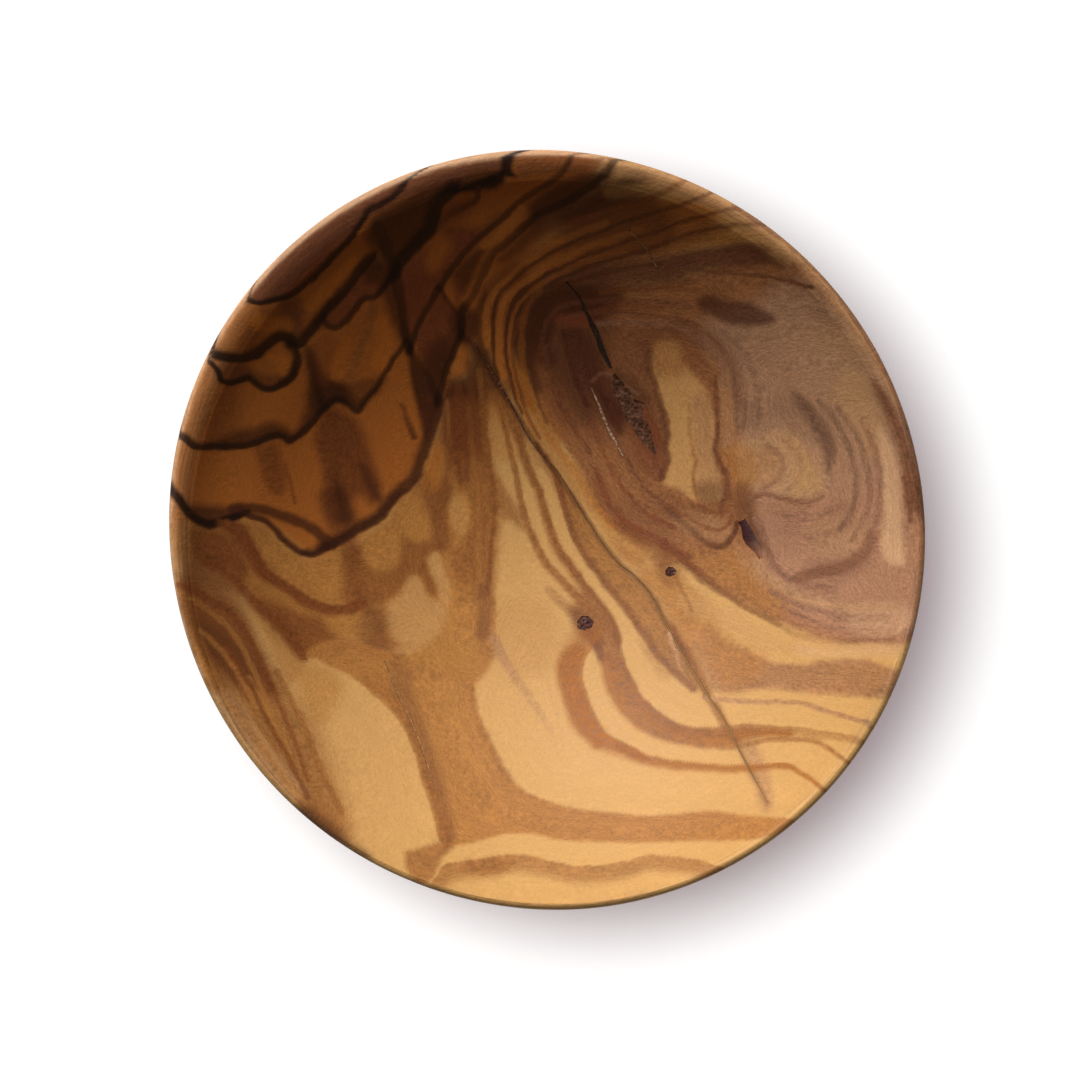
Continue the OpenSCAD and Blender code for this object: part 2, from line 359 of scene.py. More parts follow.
# Each area: tone, strength, softness of its edge in pixels, outline
wood_areas = {
    # grounds
    "amber_ground": ("amber", 0.95, 10,
        "160,525 168,450 190,375 236,295 306,218 388,164 470,140 545,142 606,150 565,212 522,262 498,285 "
        "485,305 480,340 470,345 460,365 445,400 430,440 420,470 405,495 385,515 345,545 320,556 300,553 "
        "280,535 250,518 225,516 200,525 175,530"),
    "middle_left_ground": ("syrup", 0.85, 10,
        "160,525 200,522 240,514 270,528 300,555 330,552 385,520 420,470 440,430 470,400 492,410 497,440 "
        "500,500 497,540 492,600 490,650 470,670 440,650 420,645 390,650 350,640 310,655 290,650 260,615 "
        "230,580 190,560 164,556"),
    "top_right_ground": ("tan", 0.85, 9,
        "548,222 600,196 650,183 700,194 745,220 772,240 740,244 700,247 660,258 620,268 590,276 560,281 "
        "540,286 526,296 517,318 515,345 520,370 532,396 520,400 508,380 498,360 484,350 481,325 487,305 "
        "496,290 508,274 528,258 545,246"),
    "heart_wood": ("rose", 0.96, 4,
        "526,345 521,322 523,304 534,293 548,285 565,280 590,282 620,284 650,283 690,276 720,266 745,256 "
        "780,256 818,275 853,318 884,365 910,420 925,480 930,540 925,600 912,640 880,643 850,643 820,637 "
        "800,630 780,622 760,612 740,602 720,590 700,576 685,565 668,553 650,545 632,538 615,528 605,515 "
        "598,500 590,482 580,466 568,449 556,432 546,418 537,402 531,385 528,365"),
    "upper_right_grey": ("ash", 0.9, 16,
        "700,330 725,312 760,300 790,278 835,298 875,350 902,400 918,450 908,480 880,482 850,492 820,502 "
        "790,502 762,502 746,475 740,440 737,400 727,370"),
    "right_blush": ("blush", 0.8, 18,
        "760,500 800,505 850,480 880,460 900,470 918,520 918,600 904,640 850,640 800,620 770,590 760,550"),
    "heart_top_dark": ("umber", 0.85, 8,
        "524,334 524,306 534,295 548,288 566,283 585,286 597,300 600,314 585,316 565,316 556,322 552,340 "
        "556,362 546,366 536,362 529,350"),
    "heart_core": ("wine", 0.25, 11,
        "566,330 590,332 602,350 610,372 625,384 642,395 656,410 666,430 671,450 663,470 650,478 635,465 "
        "620,445 605,420 592,400 580,380 570,355"),
    # dark wood at the upper left
    "rim_dark": ("russet", 0.85, 4,
        "240,302 262,304 276,300 290,296 301,289 311,281 321,272 331,261 341,250 350,240 358,229 364,219 "
        "372,210 386,203 398,194 405,185 412,176 402,158 350,184 296,226 250,276"),
    "top_dark": ("umber", 0.85, 8,
        "366,230 376,214 390,206 410,192 430,178 450,170 480,160 500,152 505,175 490,188 452,192 440,205 "
        "436,218 432,230 420,242 408,256 400,266 398,285 403,310 409,335 411,352 406,350 400,325 394,300 "
        "388,280 392,270 386,262 376,252 366,242"),
    "between_black": ("russet", 0.85, 5,
        "312,320 325,306 340,293 352,284 362,271 374,262 386,262 392,272 388,283 378,294 366,299 359,305 "
        "352,315 344,323 334,327 325,325 318,330"),
    "black_corner": ("umber", 0.75, 7,
        "362,268 372,256 384,258 392,275 398,300 402,325 405,342 398,335 390,318 384,300 376,285 366,282"),
    "smoke_patch": ("smoke", 0.75, 9, "280,300 296,296 302,310 302,330 296,340 284,335 278,318"),
    "rim_shade": ("chestnut", 0.6, 12, "232,345 245,320 262,308 275,310 262,330 255,350 240,355"),
    "loop_left": ("smoke", 0.75, 7, "216,364 232,362 246,364 252,374 246,380 234,384 218,382"),
    "loop_foot": ("umber", 0.6, 6, "250,372 265,374 280,372 294,362 296,372 288,382 272,388 258,384"),
    "under_blotch": ("chestnut", 0.6, 7, "186,560 210,565 232,575 245,590 230,592 205,584 188,578"),
    "loop_smear": ("umber", 0.85, 6,
        "304,350 312,346 318,360 326,374 338,380 346,392 344,406 336,403 326,410 318,416 312,402 307,382"),
    "loop_right_brown": ("chestnut", 0.35, 8, "310,345 322,331 334,335 336,360 328,382 318,365"),
    "below_cells": ("umber", 0.6, 5, "338,386 358,380 384,377 380,390 366,402 356,409 346,402 338,398"),
    "left_smear": ("chestnut", 0.7, 6, "254,445 275,444 281,460 285,480 281,495 270,492 262,475 257,460"),
    "middle_smear": ("chestnut", 0.92, 7,
        "318,418 335,408 352,416 362,430 370,455 378,480 380,498 370,505 358,497 350,506 353,520 340,526 "
        "328,520 322,500 322,470 314,445"),
    "middle_smear_core": ("ink", 0.55, 6, "332,478 340,483 346,503 349,520 339,521 333,500"),
    "right_smear_core": ("umber", 0.7, 6, "358,462 370,472 379,490 379,502 370,496 362,482"),
    "rim_orange": ("chestnut", 0.45, 12, "205,400 235,385 235,430 205,445"),
    "fifth_shade": ("umber", 0.9, 6,
        "176,494 188,501 200,504 215,506 228,506 240,505 245,512 236,519 222,523 208,528 196,522 185,511"),
    "fourth_shade": ("umber", 0.85, 7,
        "205,444 220,436 238,430 255,426 270,421 281,425 291,431 299,424 304,408 309,392 322,384 340,384 "
        "352,394 358,406 350,404 337,400 324,408 312,422 300,435 289,443 278,438 262,441 240,447 215,449"),
    # cells at the top
    "top_cells": ("russet", 0.9, 8,
        "400,266 415,252 430,238 445,226 470,228 485,224 500,214 490,228 472,246 456,265 444,284 432,302 "
        "420,322 413,340 405,330 398,300 396,280"),
    "orange_cell": ("amber", 0.85, 7, "430,240 440,232 449,238 451,246 446,258 440,268 432,273 424,262"),
    "first_cell_brown": ("russet", 0.7, 8,
        "438,212 450,202 466,198 478,196 472,208 460,220 445,225 434,222"),
    "second_third_gap": ("wine", 0.85, 7,
        "528,206 545,190 562,181 600,170 614,170 605,184 590,194 574,203 558,209 545,213 536,219"),
    "below_third": ("umber", 0.7, 8,
        "530,218 560,205 600,190 640,180 640,195 600,212 570,224 545,236 525,250 505,262 498,258 510,242"),
    "strip_cell": ("gold", 0.85, 3,
        "488,252 492,258 488,268 484,280 478,291 471,302 464,310 461,303 467,293 474,282 479,270 483,260"),
    "left_of_strip": ("umber", 0.8, 5,
        "488,246 482,258 477,270 470,283 463,294 456,285 452,275 458,266 466,258 476,249"),
    "little_cell": ("russet", 0.7, 4, "452,282 458,276 463,286 462,297 456,301"),
    "triangle_cell": ("russet", 0.9, 4,
        "440,292 449,303 457,314 459,330 455,346 448,360 442,374 437,392 431,380 425,368 419,356 416,345 "
        "416,335 422,322 431,306"),
    "triangle_foot": ("umber", 0.7, 8, "449,350 445,370 438,394 431,384 429,366 438,352"),
    "left_wedge": ("umber", 0.95, 4,
        "409,346 414,356 420,367 427,376 434,388 438,396 436,408 432,424 427,440 423,440 421,428 417,410 "
        "412,390 408,368"),
    "triangle_low": ("umber", 0.8, 9,
        "424,350 440,335 456,338 456,348 450,362 443,378 437,392 430,384 420,366"),
    "gold_wedge": ("gold", 0.95, 3, "462,342 467,346 469,356 467,368 462,376 455,376 450,368 455,356"),
    # middle of the left
    "centre_column": ("nut", 0.8, 6,
        "446,396 470,385 486,392 488,430 492,455 497,475 500,500 499,520 496,540 494,570 493,600 493,625 "
        "490,650 478,670 460,680 444,665 450,640 457,615 454,590 452,570 450,556 456,546 464,541 470,525 "
        "470,505 463,491 452,478 446,450"),
    "column_dark": ("chestnut", 0.65, 9, "446,392 462,382 468,410 468,445 463,475 452,472 445,445"),
    "column_top_dark": ("chestnut", 0.85, 12,
        "468,344 482,351 491,366 501,385 512,403 520,416 528,434 520,440 508,432 500,412 494,400 487,402 "
        "487,425 490,445 482,458 462,458 448,452 441,445 438,432 437,415 440,395 447,378 458,380 467,372 "
        "470,356"),
    "column_top_black": ("umber", 0.7, 7,
        "469,343 484,352 495,372 507,394 500,404 482,400 458,396 441,402 446,384 454,377 464,374 469,360"),
    "column_left_brown": ("chestnut", 0.7, 5,
        "424,492 436,488 444,472 451,482 452,498 447,515 450,538 445,552 432,550 432,530 428,510"),
    "pale_leaf": ("straw", 0.75, 4,
        "490,416 494,408 499,420 503,437 507,455 512,475 517,492 515,503 508,494 501,480 495,465 490,450 "
        "488,432"),
    "brown_under_leaf": ("nut", 0.75, 6, "498,478 506,490 514,502 521,515 522,530 512,522 503,518 499,505"),
    "pale_leaf_two": ("straw", 0.75, 2.5,
        "509,430 513,438 522,455 530,475 535,495 540,515 547,532 556,550 566,565 578,580 590,592 580,596 "
        "567,585 557,573 548,560 540,545 533,527 527,510 523,490 519,470 513,450"),
    "gold_beside_crack": ("syrup", 0.5, 4,
        "520,400 528,396 537,410 546,425 556,440 568,453 578,465 588,480 597,495 604,508 614,522 630,536 "
        "650,548 640,566 622,556 606,536 590,512 574,490 558,468 542,448 530,430 522,415"),
    "pale_left": ("gold", 0.75, 5, "422,476 428,455 434,439 440,450 440,470 438,488 430,492 423,486"),
    "pale_left_foot": ("nut", 0.65, 5, "410,480 420,470 428,476 436,490 440,506 430,506 420,496"),
    "pale_strip_upper": ("honey", 0.95, 3,
        "449,509 455,497 460,490 467,500 469,512 465,525 462,539 457,532 450,520"),
    "broken_band": ("chestnut", 0.6, 6,
        "344,552 358,548 364,562 374,573 388,572 398,562 400,545 404,536 416,542 428,542 432,550 426,562 "
        "420,572 412,580 402,588 392,598 372,604 355,600 345,578"),
    "broken_band_low": ("nut", 0.75, 8, "358,600 374,608 385,630 392,655 380,664 362,652 356,625"),
    "pale_above_band": ("honey", 0.9, 4,
        "362,546 370,535 383,529 394,535 398,548 394,561 384,569 372,567 364,557"),
    "pale_under_line": ("honey", 0.9, 4,
        "393,513 401,502 410,496 418,503 421,514 428,525 425,538 414,540 402,533 394,524"),
    "pale_patch": ("sand", 0.7, 5,
        "386,604 396,597 402,590 408,580 414,577 421,584 425,593 434,601 446,603 448,616 440,636 420,646 "
        "396,642 387,628"),
    "patch_foot_shade": ("nut", 0.35, 7, "385,638 405,646 425,646 446,634 456,645 442,662 402,664 380,652"),
    "between_patches": ("chestnut", 0.6, 4, "417,572 425,562 430,572 435,586 436,596 428,594 422,584"),
    "pale_strip_lower": ("sand", 0.75, 3,
        "427,559 436,553 440,557 444,570 449,584 452,598 446,604 440,600 436,586 430,571"),
    "left_blotch": ("chestnut", 0.85, 7,
        "190,530 214,529 232,539 243,555 248,570 240,580 225,570 205,565 193,556"),
    "cell_under_fifth": ("honey", 0.7, 8,
        "265,540 285,548 305,560 325,557 342,552 350,575 345,592 325,596 305,584 285,572 270,558"),
    "cell_gap_dark": ("chestnut", 0.6, 6,
        "338,540 352,532 358,550 356,575 362,598 350,612 342,600 340,575"),
    "smear_foot_dark": ("umber", 0.5, 8, "318,495 336,490 350,500 356,520 345,538 330,536 322,520"),
    "under_fifth_brown": ("chestnut", 0.5, 7,
        "226,526 245,524 255,545 263,562 276,575 265,579 250,568 239,550"),
    "quiet_brown": ("chestnut", 0.75, 8,
        "258,602 275,606 300,614 318,617 326,627 346,645 338,656 312,655 298,656 285,640 270,622"),
    "quiet_gold": ("honey", 0.7, 7, "330,612 350,608 366,615 372,632 360,645 342,640 332,628"),
    "left_pale_band": ("tan", 0.6, 6,
        "248,604 258,610 270,626 283,643 300,660 302,672 288,684 276,664 266,642 257,622"),
    "left_edge_brown": ("nut", 0.85, 13,
        "178,580 215,598 240,615 262,655 285,690 300,715 318,755 330,790 347,832 330,840 296,808 258,758 "
        "224,708 194,658"),
    "lower_left_dark": ("chestnut", 0.75, 10,
        "176,575 200,580 225,592 245,612 258,640 268,665 280,695 262,700 235,690 210,660 190,625 178,600"),
    "left_middle_dark": ("chestnut", 0.55, 12,
        "182,548 212,552 238,570 262,592 288,612 302,642 288,642 262,618 235,602 205,592 182,582"),
    "left_line_start": ("chestnut", 0.6, 6,
        "226,526 240,524 252,540 262,560 275,574 262,574 248,560 236,544"),
    "left_dark_blotch": ("umber", 0.5, 11, "194,620 225,630 250,655 262,678 242,684 215,668 198,645"),
    "straw_top_orange": ("honey", 0.6, 12,
        "298,664 315,664 332,674 340,690 330,712 316,725 306,705 298,685"),
    "straw_left_shade": ("nut", 0.4, 15,
        "300,700 318,720 332,755 344,790 354,835 340,835 325,790 312,750 300,720"),
    "grey_left_of_band": ("smoke", 0.4, 9, "360,600 385,610 390,650 384,690 372,690 362,672 356,640"),
    # lower left and bottom
    "main_band": ("tan", 0.95, 2.5,
        "300,659 315,659 330,667 345,675 360,683 372,692 383,702 395,715 405,730 412,745 418,762 422,778 "
        "428,795 433,810 436,825 439,838 452,846 470,845 490,838 510,834 535,836 560,841 610,843 650,843 "
        "690,841 720,842 748,840 775,834 795,820 765,817 740,815 710,812 680,815 650,817 620,815 600,812 "
        "585,812 565,808 550,803 535,798 520,790 510,778 500,762 492,745 485,730 478,715 475,700 474,685 "
        "480,672 490,662 493,648 494,620 493,595 480,600 460,610 440,640 410,655 380,650 350,640 330,640 "
        "310,648"),
    "band_corner": ("tan", 0.85, 4, "478,650 494,636 496,655 490,668 480,680 474,690 470,672"),
    "main_band_light": ("honey", 0.5, 12,
        "432,690 462,690 470,720 482,750 490,775 470,775 450,750 438,720"),
    "bottom_corner": ("nut", 0.8, 4,
        "404,853 414,850 430,845 442,842 455,846 449,853 440,861 437,872 426,884 415,882 407,870"),
    "band_grey_side": ("smoke", 0.3, 5,
        "392,655 410,658 414,690 421,715 431,745 440,775 450,805 456,832 450,845 443,845 436,822 430,800 "
        "424,785 418,765 413,742 405,722 396,705 388,690"),
    "bottom_band_start": ("nut", 0.55, 5, "462,863 480,860 505,859 515,864 505,874 485,876 465,872"),
    # heart
    "bright_band": ("honey", 0.85, 4, "655,248 680,240 705,236 735,233 747,238 730,242 700,245 672,249"),
    "plum_band": ("wine", 0.85, 5,
        "650,264 675,254 705,249 745,243 768,245 790,256 806,267 790,268 768,263 742,263 715,266 690,266 "
        "665,270"),
    "top_smudge": ("wine", 0.75, 5,
        "698,300 708,295 722,297 740,300 756,305 770,313 777,320 764,325 746,325 728,322 714,315 702,308"),
    "island_ring": ("plum", 0.55, 10,
        "640,335 660,325 685,319 706,324 723,338 736,355 744,380 744,405 735,400 728,375 718,355 704,343 "
        "690,338 680,340 668,336 655,342 652,357 654,375 660,392 668,410 672,440 665,420 655,395 645,370"),
    "pale_island": ("sand", 0.96, 4,
        "656,344 668,339 680,343 684,358 692,370 702,382 711,396 715,415 716,438 714,452 717,468 722,484 "
        "724,497 712,500 700,500 694,502 688,494 678,488 666,484 664,477 669,466 672,457 669,446 671,434 "
        "669,420 664,404 659,388 654,370 652,357"),
    "island_right_half": ("clay", 0.6, 4,
        "694,398 706,390 714,410 716,440 715,455 720,470 724,490 716,500 702,502 697,480 697,466 694,450"),
    "island_top_shade": ("nut", 0.55, 9, "650,338 672,334 688,344 692,366 678,374 660,376 652,362"),
    "pale_lobe": ("biscuit", 0.9, 5,
        "738,448 748,440 760,436 775,430 790,432 800,440 810,452 820,468 825,482 820,493 808,498 795,498 "
        "780,494 768,490 756,490 746,482 740,466"),
    "lobe_heart": ("clay", 0.75, 6, "752,455 765,445 778,452 785,465 778,480 765,488 756,480 750,468"),
    "lobe_shade": ("slate", 0.85, 5,
        "791,390 803,395 815,408 826,422 834,436 838,450 834,462 828,470 826,456 820,442 812,428 803,414 "
        "796,403"),
    "lobe_top_shade": ("slate", 0.35, 10,
        "745,405 770,398 795,395 815,412 826,430 815,440 800,432 780,424 760,428 745,425"),
    "lobe_pale_core": ("sand", 0.4, 7,
        "782,440 797,442 808,455 817,472 818,486 806,492 795,488 797,470 793,455"),
    "lobe_right_pale": ("sand", 0.35, 9,
        "835,385 855,385 872,400 880,425 882,448 870,452 860,432 848,414 836,400"),
    "upper_right_pale": ("biscuit", 0.7, 10,
        "838,372 858,366 872,380 882,405 884,428 872,432 856,420 845,400"),
    "island_neighbour": ("clay", 0.75, 4,
        "721,378 730,370 735,400 735,430 734,448 724,450 721,430 721,400"),
    "island_foot_orange": ("tan", 0.6, 6, "724,452 740,444 752,450 759,470 752,486 738,483 730,470"),
    "right_strip": ("bright", 0.9, 5,
        "878,428 886,432 893,450 899,470 902,495 902,530 906,555 900,566 888,561 883,545 885,520 884,490 "
        "882,458"),
    "right_edge_dark": ("plum", 0.85, 5,
        "872,380 884,390 896,408 905,428 912,450 918,472 923,500 920,520 911,505 905,480 901,460 896,440 "
        "889,420 879,400"),
    "heart_foot": ("plum", 0.35, 8,
        "612,505 640,498 668,492 690,500 720,506 740,500 752,506 746,520 736,535 722,543 700,541 680,536 "
        "655,540 635,530"),
    "heart_lower_edge": ("chestnut", 0.75, 6,
        "590,478 601,507 612,523 626,537 642,549 660,557 680,565 702,578 696,566 680,554 660,543 644,532 "
        "630,520 616,506 606,490 602,478"),
    "heart_side": ("rose", 0.8, 5,
        "548,405 556,425 565,443 576,462 586,482 597,502 610,520 620,515 605,490 590,460 575,435 560,410"),
    "small_knot_shade": ("chestnut", 0.6, 5, "648,556 660,552 672,560 668,572 656,568"),
    "island_end_dark": ("umber", 0.5, 7, "696,484 712,480 728,486 734,498 720,504 702,500"),
    "third_dark": ("umber", 0.88, 10,
        "560,215 590,198 620,180 640,172 650,180 640,200 660,225 668,245 640,245 610,236 580,232"),
    "top_dark_band": ("chestnut", 0.6, 9,
        "600,235 640,228 680,226 712,232 690,244 650,252 610,262 575,272 552,280 560,266 580,250"),
    "heart_top_black": ("umber", 0.7, 9,
        "530,300 540,290 560,284 580,284 596,296 602,314 590,318 570,312 556,318 548,335 542,352 534,345 "
        "530,322"),
    "top_right_pale": ("sand", 0.6, 6,
        "620,190 650,182 690,192 730,212 765,236 790,262 780,262 750,244 715,222 680,206 645,198"),
    "heart_foot_light": ("clay", 0.6, 8, "676,516 700,515 725,520 735,532 720,542 695,538 678,528"),
    "heart_crack_top": ("umber", 0.85, 8, "582,282 600,278 618,284 624,296 616,310 600,312 586,300"),
    "top_ring_dark": ("umber", 0.75, 8, "590,222 620,212 640,215 648,235 652,250 630,250 605,240"),
    "top_middle_dark": ("umber", 0.45, 12,
        "530,204 560,190 600,180 640,182 662,205 668,235 640,240 600,228 560,225 535,232"),
    "heart_flank_dark": ("chestnut", 0.55, 9,
        "524,350 540,345 552,372 566,400 580,425 570,430 552,412 538,390 528,370"),
    "column_head_brown": ("nut", 0.6, 6, "480,360 492,362 500,382 504,402 500,418 494,410 488,392 482,376"),
    "lip_inner_pale": ("sand", 0.5, 5,
        "605,188 630,184 660,186 690,197 730,216 765,240 755,244 720,226 685,210 655,200 630,199 608,198"),
    "heart_foot_pale": ("honey", 0.6, 9,
        "692,552 712,556 733,552 748,558 765,583 792,605 780,614 755,602 730,590 708,575"),
    "heart_foot_rose": ("rose", 0.2, 12,
        "690,545 715,552 735,555 752,566 768,586 790,604 770,606 745,596 720,580 700,564"),
    "pale_cone": ("clay", 0.6, 6,
        "735,545 745,548 755,562 770,580 790,590 812,602 790,600 765,587 745,570"),
    "lower_right_patch": ("mauve", 0.6, 8,
        "805,566 825,558 845,555 865,548 876,538 874,560 860,573 840,581 815,581"),
    "lilac_beside_knot": ("mauve", 0.4, 14,
        "765,505 800,506 835,505 858,500 850,530 830,548 800,552 775,545"),
    "heart_left_dark": ("umber", 0.65, 14,
        "530,300 545,292 570,288 600,290 612,310 612,340 616,370 606,395 596,420 584,425 566,405 550,380 "
        "538,352 530,325"),
    "heart_wine_left": ("wine", 0.3, 10,
        "556,330 580,325 598,345 606,372 600,400 606,425 612,440 600,445 585,425 570,400 558,370"),
    "heart_core_dark": ("wine", 0.5, 7, "596,388 610,384 622,396 628,415 626,432 614,436 604,420 598,402"),
    "bark_shadow": ("ink", 0.5, 6, "614,370 628,370 643,382 654,398 646,403 632,394 620,386"),
    "below_bark": ("russet", 0.5, 9, "626,420 640,415 655,425 664,445 664,470 656,480 644,468 634,448"),
    "heart_right_dark": ("plum", 0.5, 14,
        "600,318 640,315 680,322 704,345 706,372 694,365 684,345 668,338 655,345 650,372 640,385 622,372 "
        "610,345"),
    "heart_top_streak": ("russet", 0.8, 5, "560,318 572,315 586,316 592,321 584,326 570,326 560,324"),
    "heart_top_wine": ("wine", 0.55, 8, "564,330 582,327 594,345 600,365 598,382 586,382 576,365 568,348"),
    "apex_dark": ("umber", 0.85, 6, "451,312 462,302 472,308 480,318 478,334 468,344 458,342 450,330"),
    "ring_ground": ("gold", 0.8, 8,
        "478,345 480,310 492,285 512,262 545,240 590,220 640,205 700,200 720,215 680,235 640,245 600,255 "
        "560,275 535,290 520,310 515,345 520,380 530,400 515,395 500,375 490,355"),
    "ring_shade": ("chestnut", 0.5, 14,
        "505,272 530,246 570,222 620,205 680,205 722,224 700,244 640,257 590,268 556,278 530,292 516,300"),
    "rings_brown": ("chestnut", 0.75, 6,
        "480,290 500,270 520,262 530,290 522,310 515,340 516,370 524,395 530,405 520,402 508,390 500,372 "
        "494,350 488,330 480,315"),
    "ring_outer_dark": ("umber", 0.7, 4,
        "476,305 486,290 491,300 487,320 486,340 492,362 498,380 490,372 482,354 474,338 471,320"),
    "ring_inner_dark": ("umber", 0.8, 4,
        "514,302 522,290 536,284 530,300 524,318 521,345 526,372 520,368 513,345 511,322"),
    "top_ring_shadow": ("umber", 0.6, 12,
        "560,228 590,210 620,198 650,198 672,215 676,235 650,244 615,250 585,252 566,248"),
    "heart_shoulder_dark": ("umber", 0.65, 9,
        "514,302 526,286 545,275 575,268 600,266 612,280 590,287 560,290 541,300 531,316 527,345 530,368 "
        "523,368 515,345 512,320"),
    "heart_side_dark": ("umber", 0.7, 5,
        "517,325 528,322 536,345 537,370 543,390 535,394 526,382 520,365 517,345"),
    "crack_head_dark": ("umber", 0.5, 6, "474,345 484,345 492,362 500,380 508,398 500,398 490,384 480,366"),
    "top_right_dark": ("plum", 0.8, 6,
        "545,272 580,264 620,258 650,254 680,250 720,247 748,243 772,250 750,266 715,270 690,276 650,281 "
        "610,283 570,281 550,285"),
    "heart_top_plum": ("plum", 0.7, 6, "600,274 630,270 660,266 690,264 690,278 660,286 625,290 602,288"),
    "heart_wine": ("wine", 0.35, 8,
        "588,375 604,372 622,380 640,392 655,408 664,430 660,452 648,446 634,432 618,425 606,412 596,396"),
    "behind_knot": ("umber", 0.45, 7, "738,484 750,482 757,494 757,512 748,520 740,514 736,500"),
    "beside_knot": ("umber", 0.7, 4, "750,514 758,518 764,530 766,545 761,552 755,540 750,528"),
    "lower_right_light": ("biscuit", 0.4, 12, "812,520 850,515 868,530 850,552 820,556"),
    "right_rim_light": ("bright", 0.4, 8, "850,612 905,604 908,630 860,634"),
    "upper_right_light": ("biscuit", 0.4, 12, "810,325 850,325 868,350 850,362 815,355"),
    # lower right
    "crack_side": ("nut", 0.85, 6,
        "548,468 557,484 562,505 570,525 580,546 592,564 604,580 616,594 628,610 640,628 652,645 664,658 "
        "678,672 694,686 712,696 706,674 692,652 678,630 664,610 650,592 634,576 620,562 606,544 592,524 "
        "578,504 566,486"),
    "under_small_knot": ("tan", 0.8, 9,
        "640,572 656,568 672,574 688,584 704,598 718,616 724,645 718,682 702,670 686,645 672,622 655,598 "
        "642,584"),
    "rose_band": ("clay", 0.9, 4,
        "692,628 716,637 738,647 757,656 777,663 800,665 820,662 840,660 860,660 880,663 897,672 892,692 "
        "882,698 860,696 840,695 800,692 770,689 740,692 726,694 712,688 700,664"),
    "rose_band_shade": ("rose", 0.4, 5,
        "712,640 738,647 757,656 777,663 800,665 820,662 840,660 860,660 880,663 897,672 892,692 882,698 "
        "860,696 840,695 800,692 770,689 740,692 722,688"),
    "corner_brown": ("tan", 0.75, 13,
        "676,610 700,622 730,636 760,652 766,668 750,684 728,690 712,676 696,648"),
    "gold_lower_right": ("sand", 0.6, 9,
        "688,592 720,606 750,622 780,640 802,648 790,659 760,650 730,636 700,620 684,606"),
    "straw_right": ("bright", 0.5, 8, "800,646 830,648 860,648 895,646 893,655 860,656 830,656 805,655"),
    "crack_crossing": ("plum", 0.4, 5, "736,727 756,726 761,738 756,747 742,747 733,740"),
    "knot_band_body": ("toffee", 0.85, 4,
        "600,655 612,652 620,656 628,670 636,686 644,700 656,712 670,722 684,728 704,731 730,730 752,728 "
        "790,730 790,738 752,738 735,746 705,748 676,745 655,739 640,731 626,719 614,704 606,690 602,672"),
    "lobe_body": ("toffee", 0.85, 5,
        "558,662 565,650 578,645 588,652 583,662 581,680 586,696 592,712 600,726 612,740 600,750 586,742 "
        "574,728 565,710 560,690 557,674"),
    "knot_halo": ("umber", 0.5, 7,
        "570,608 582,606 594,612 600,626 604,645 604,660 596,652 588,640 578,632 571,620"),
    "crack_end_stain": ("clay", 0.7, 6, "744,748 760,750 768,770 774,802 765,812 756,792 748,770"),
    # stains beside the crack, the knots and the rings
    "crack_left_brown": ("nut", 0.5, 7,
        "522,428 536,440 548,456 560,472 573,490 585,508 578,514 566,500 552,486 540,472 528,452"),
    "ring_foot_gold": ("toffee", 0.55, 6,
        "513,358 522,370 534,388 548,410 564,438 554,446 540,426 527,404 517,386 511,370"),
    "strip_gold": ("gold", 0.35, 6, "486,392 505,395 515,430 520,458 495,458 488,430"),
    "small_knot_halo": ("chestnut", 0.5, 6, "657,562 668,557 678,561 683,572 680,583 670,587 661,580"),
    "lower_knot_halo": ("chestnut", 0.65, 7,
        "573,614 582,607 594,607 603,615 608,628 606,642 596,644 582,640 574,628"),
    "bark_left_dark": ("umber", 0.8, 6, "604,394 617,398 625,411 621,425 610,421 603,408"),
    "crack_foot_brown": ("nut", 0.4, 8, "612,540 630,548 648,560 652,572 636,570 620,558"),
    "crack_side_light": ("honey", 0.35, 8,
        "586,520 600,545 618,568 640,590 655,615 668,645 655,640 640,618 622,596 604,575 590,550"),
    "crack_side_brown": ("nut", 0.35, 8, "640,640 660,652 672,672 665,680 650,668 640,655"),
    "pale_left_shade": ("tan", 0.25, 12, "495,605 545,602 560,640 548,672 512,676 496,650"),
    "column_foot_honey": ("honey", 0.55, 10,
        "446,590 470,588 480,640 480,672 440,672 400,660 432,642 446,620"),
    "column_cell": ("sand", 0.4, 4, "452,496 462,498 466,512 466,530 461,536 453,528 448,512"),
    # lip, with painted light and a painted highlight along its outer edge
    "lip_top_right": ("lip_brown", 0.75, 3,
        "600,140 680,165 750,205 806,250 852,303 892,373 912,420 895,402 866,352 828,300 787,258 737,222 "
        "680,195 625,176 600,172"),
    "lip_left": ("lip_brown", 0.45, 8,
        "211,402 224,362 244,320 257,300 246,286 226,308 198,350 178,400 164,450 157,500 158,550 162,590 "
        "180,590 186,560 188,530 190,500 197,452 204,422"),
    "lip_upper_left": ("lip_dark", 0.9, 4,
        "257,300 246,286 270,255 310,215 355,180 405,155 450,142 512,138 514,160 475,172 430,186 392,204 "
        "350,232 312,262 280,296 262,304"),
    "lip_lower_left": ("biscuit", 0.6, 5,
        "206,690 226,688 256,730 290,772 308,792 298,804 270,778 236,736"),
    "lip_left_brown": ("nut", 0.65, 5, "164,594 183,588 194,620 210,655 226,686 208,690 184,645"),
    "lip_corner_dark": ("umber", 0.75, 7,
        "298,800 316,810 332,824 350,840 370,856 360,868 338,853 318,836 300,820"),
    # Painted light: a pale band along the outer edge at the bottom, where the rounded edge faces away from
    # the key lamp and would render darker.
    "lip_bottom_painted_light": ("sand", 0.7, 3,
        "330,838 380,866 430,885 488,899 547,904 605,899 640,891 644,905 606,914 547,919 486,914 426,900 "
        "374,880 326,850"),
    "lip_top": ("lip_dark", 0.6, 3, "515,138 560,138 604,144 600,168 575,172 545,173 518,175"),
    # Painted highlight: a thin bright line along the outer edge at the left and top, for the light that the
    # rounded edge catches.
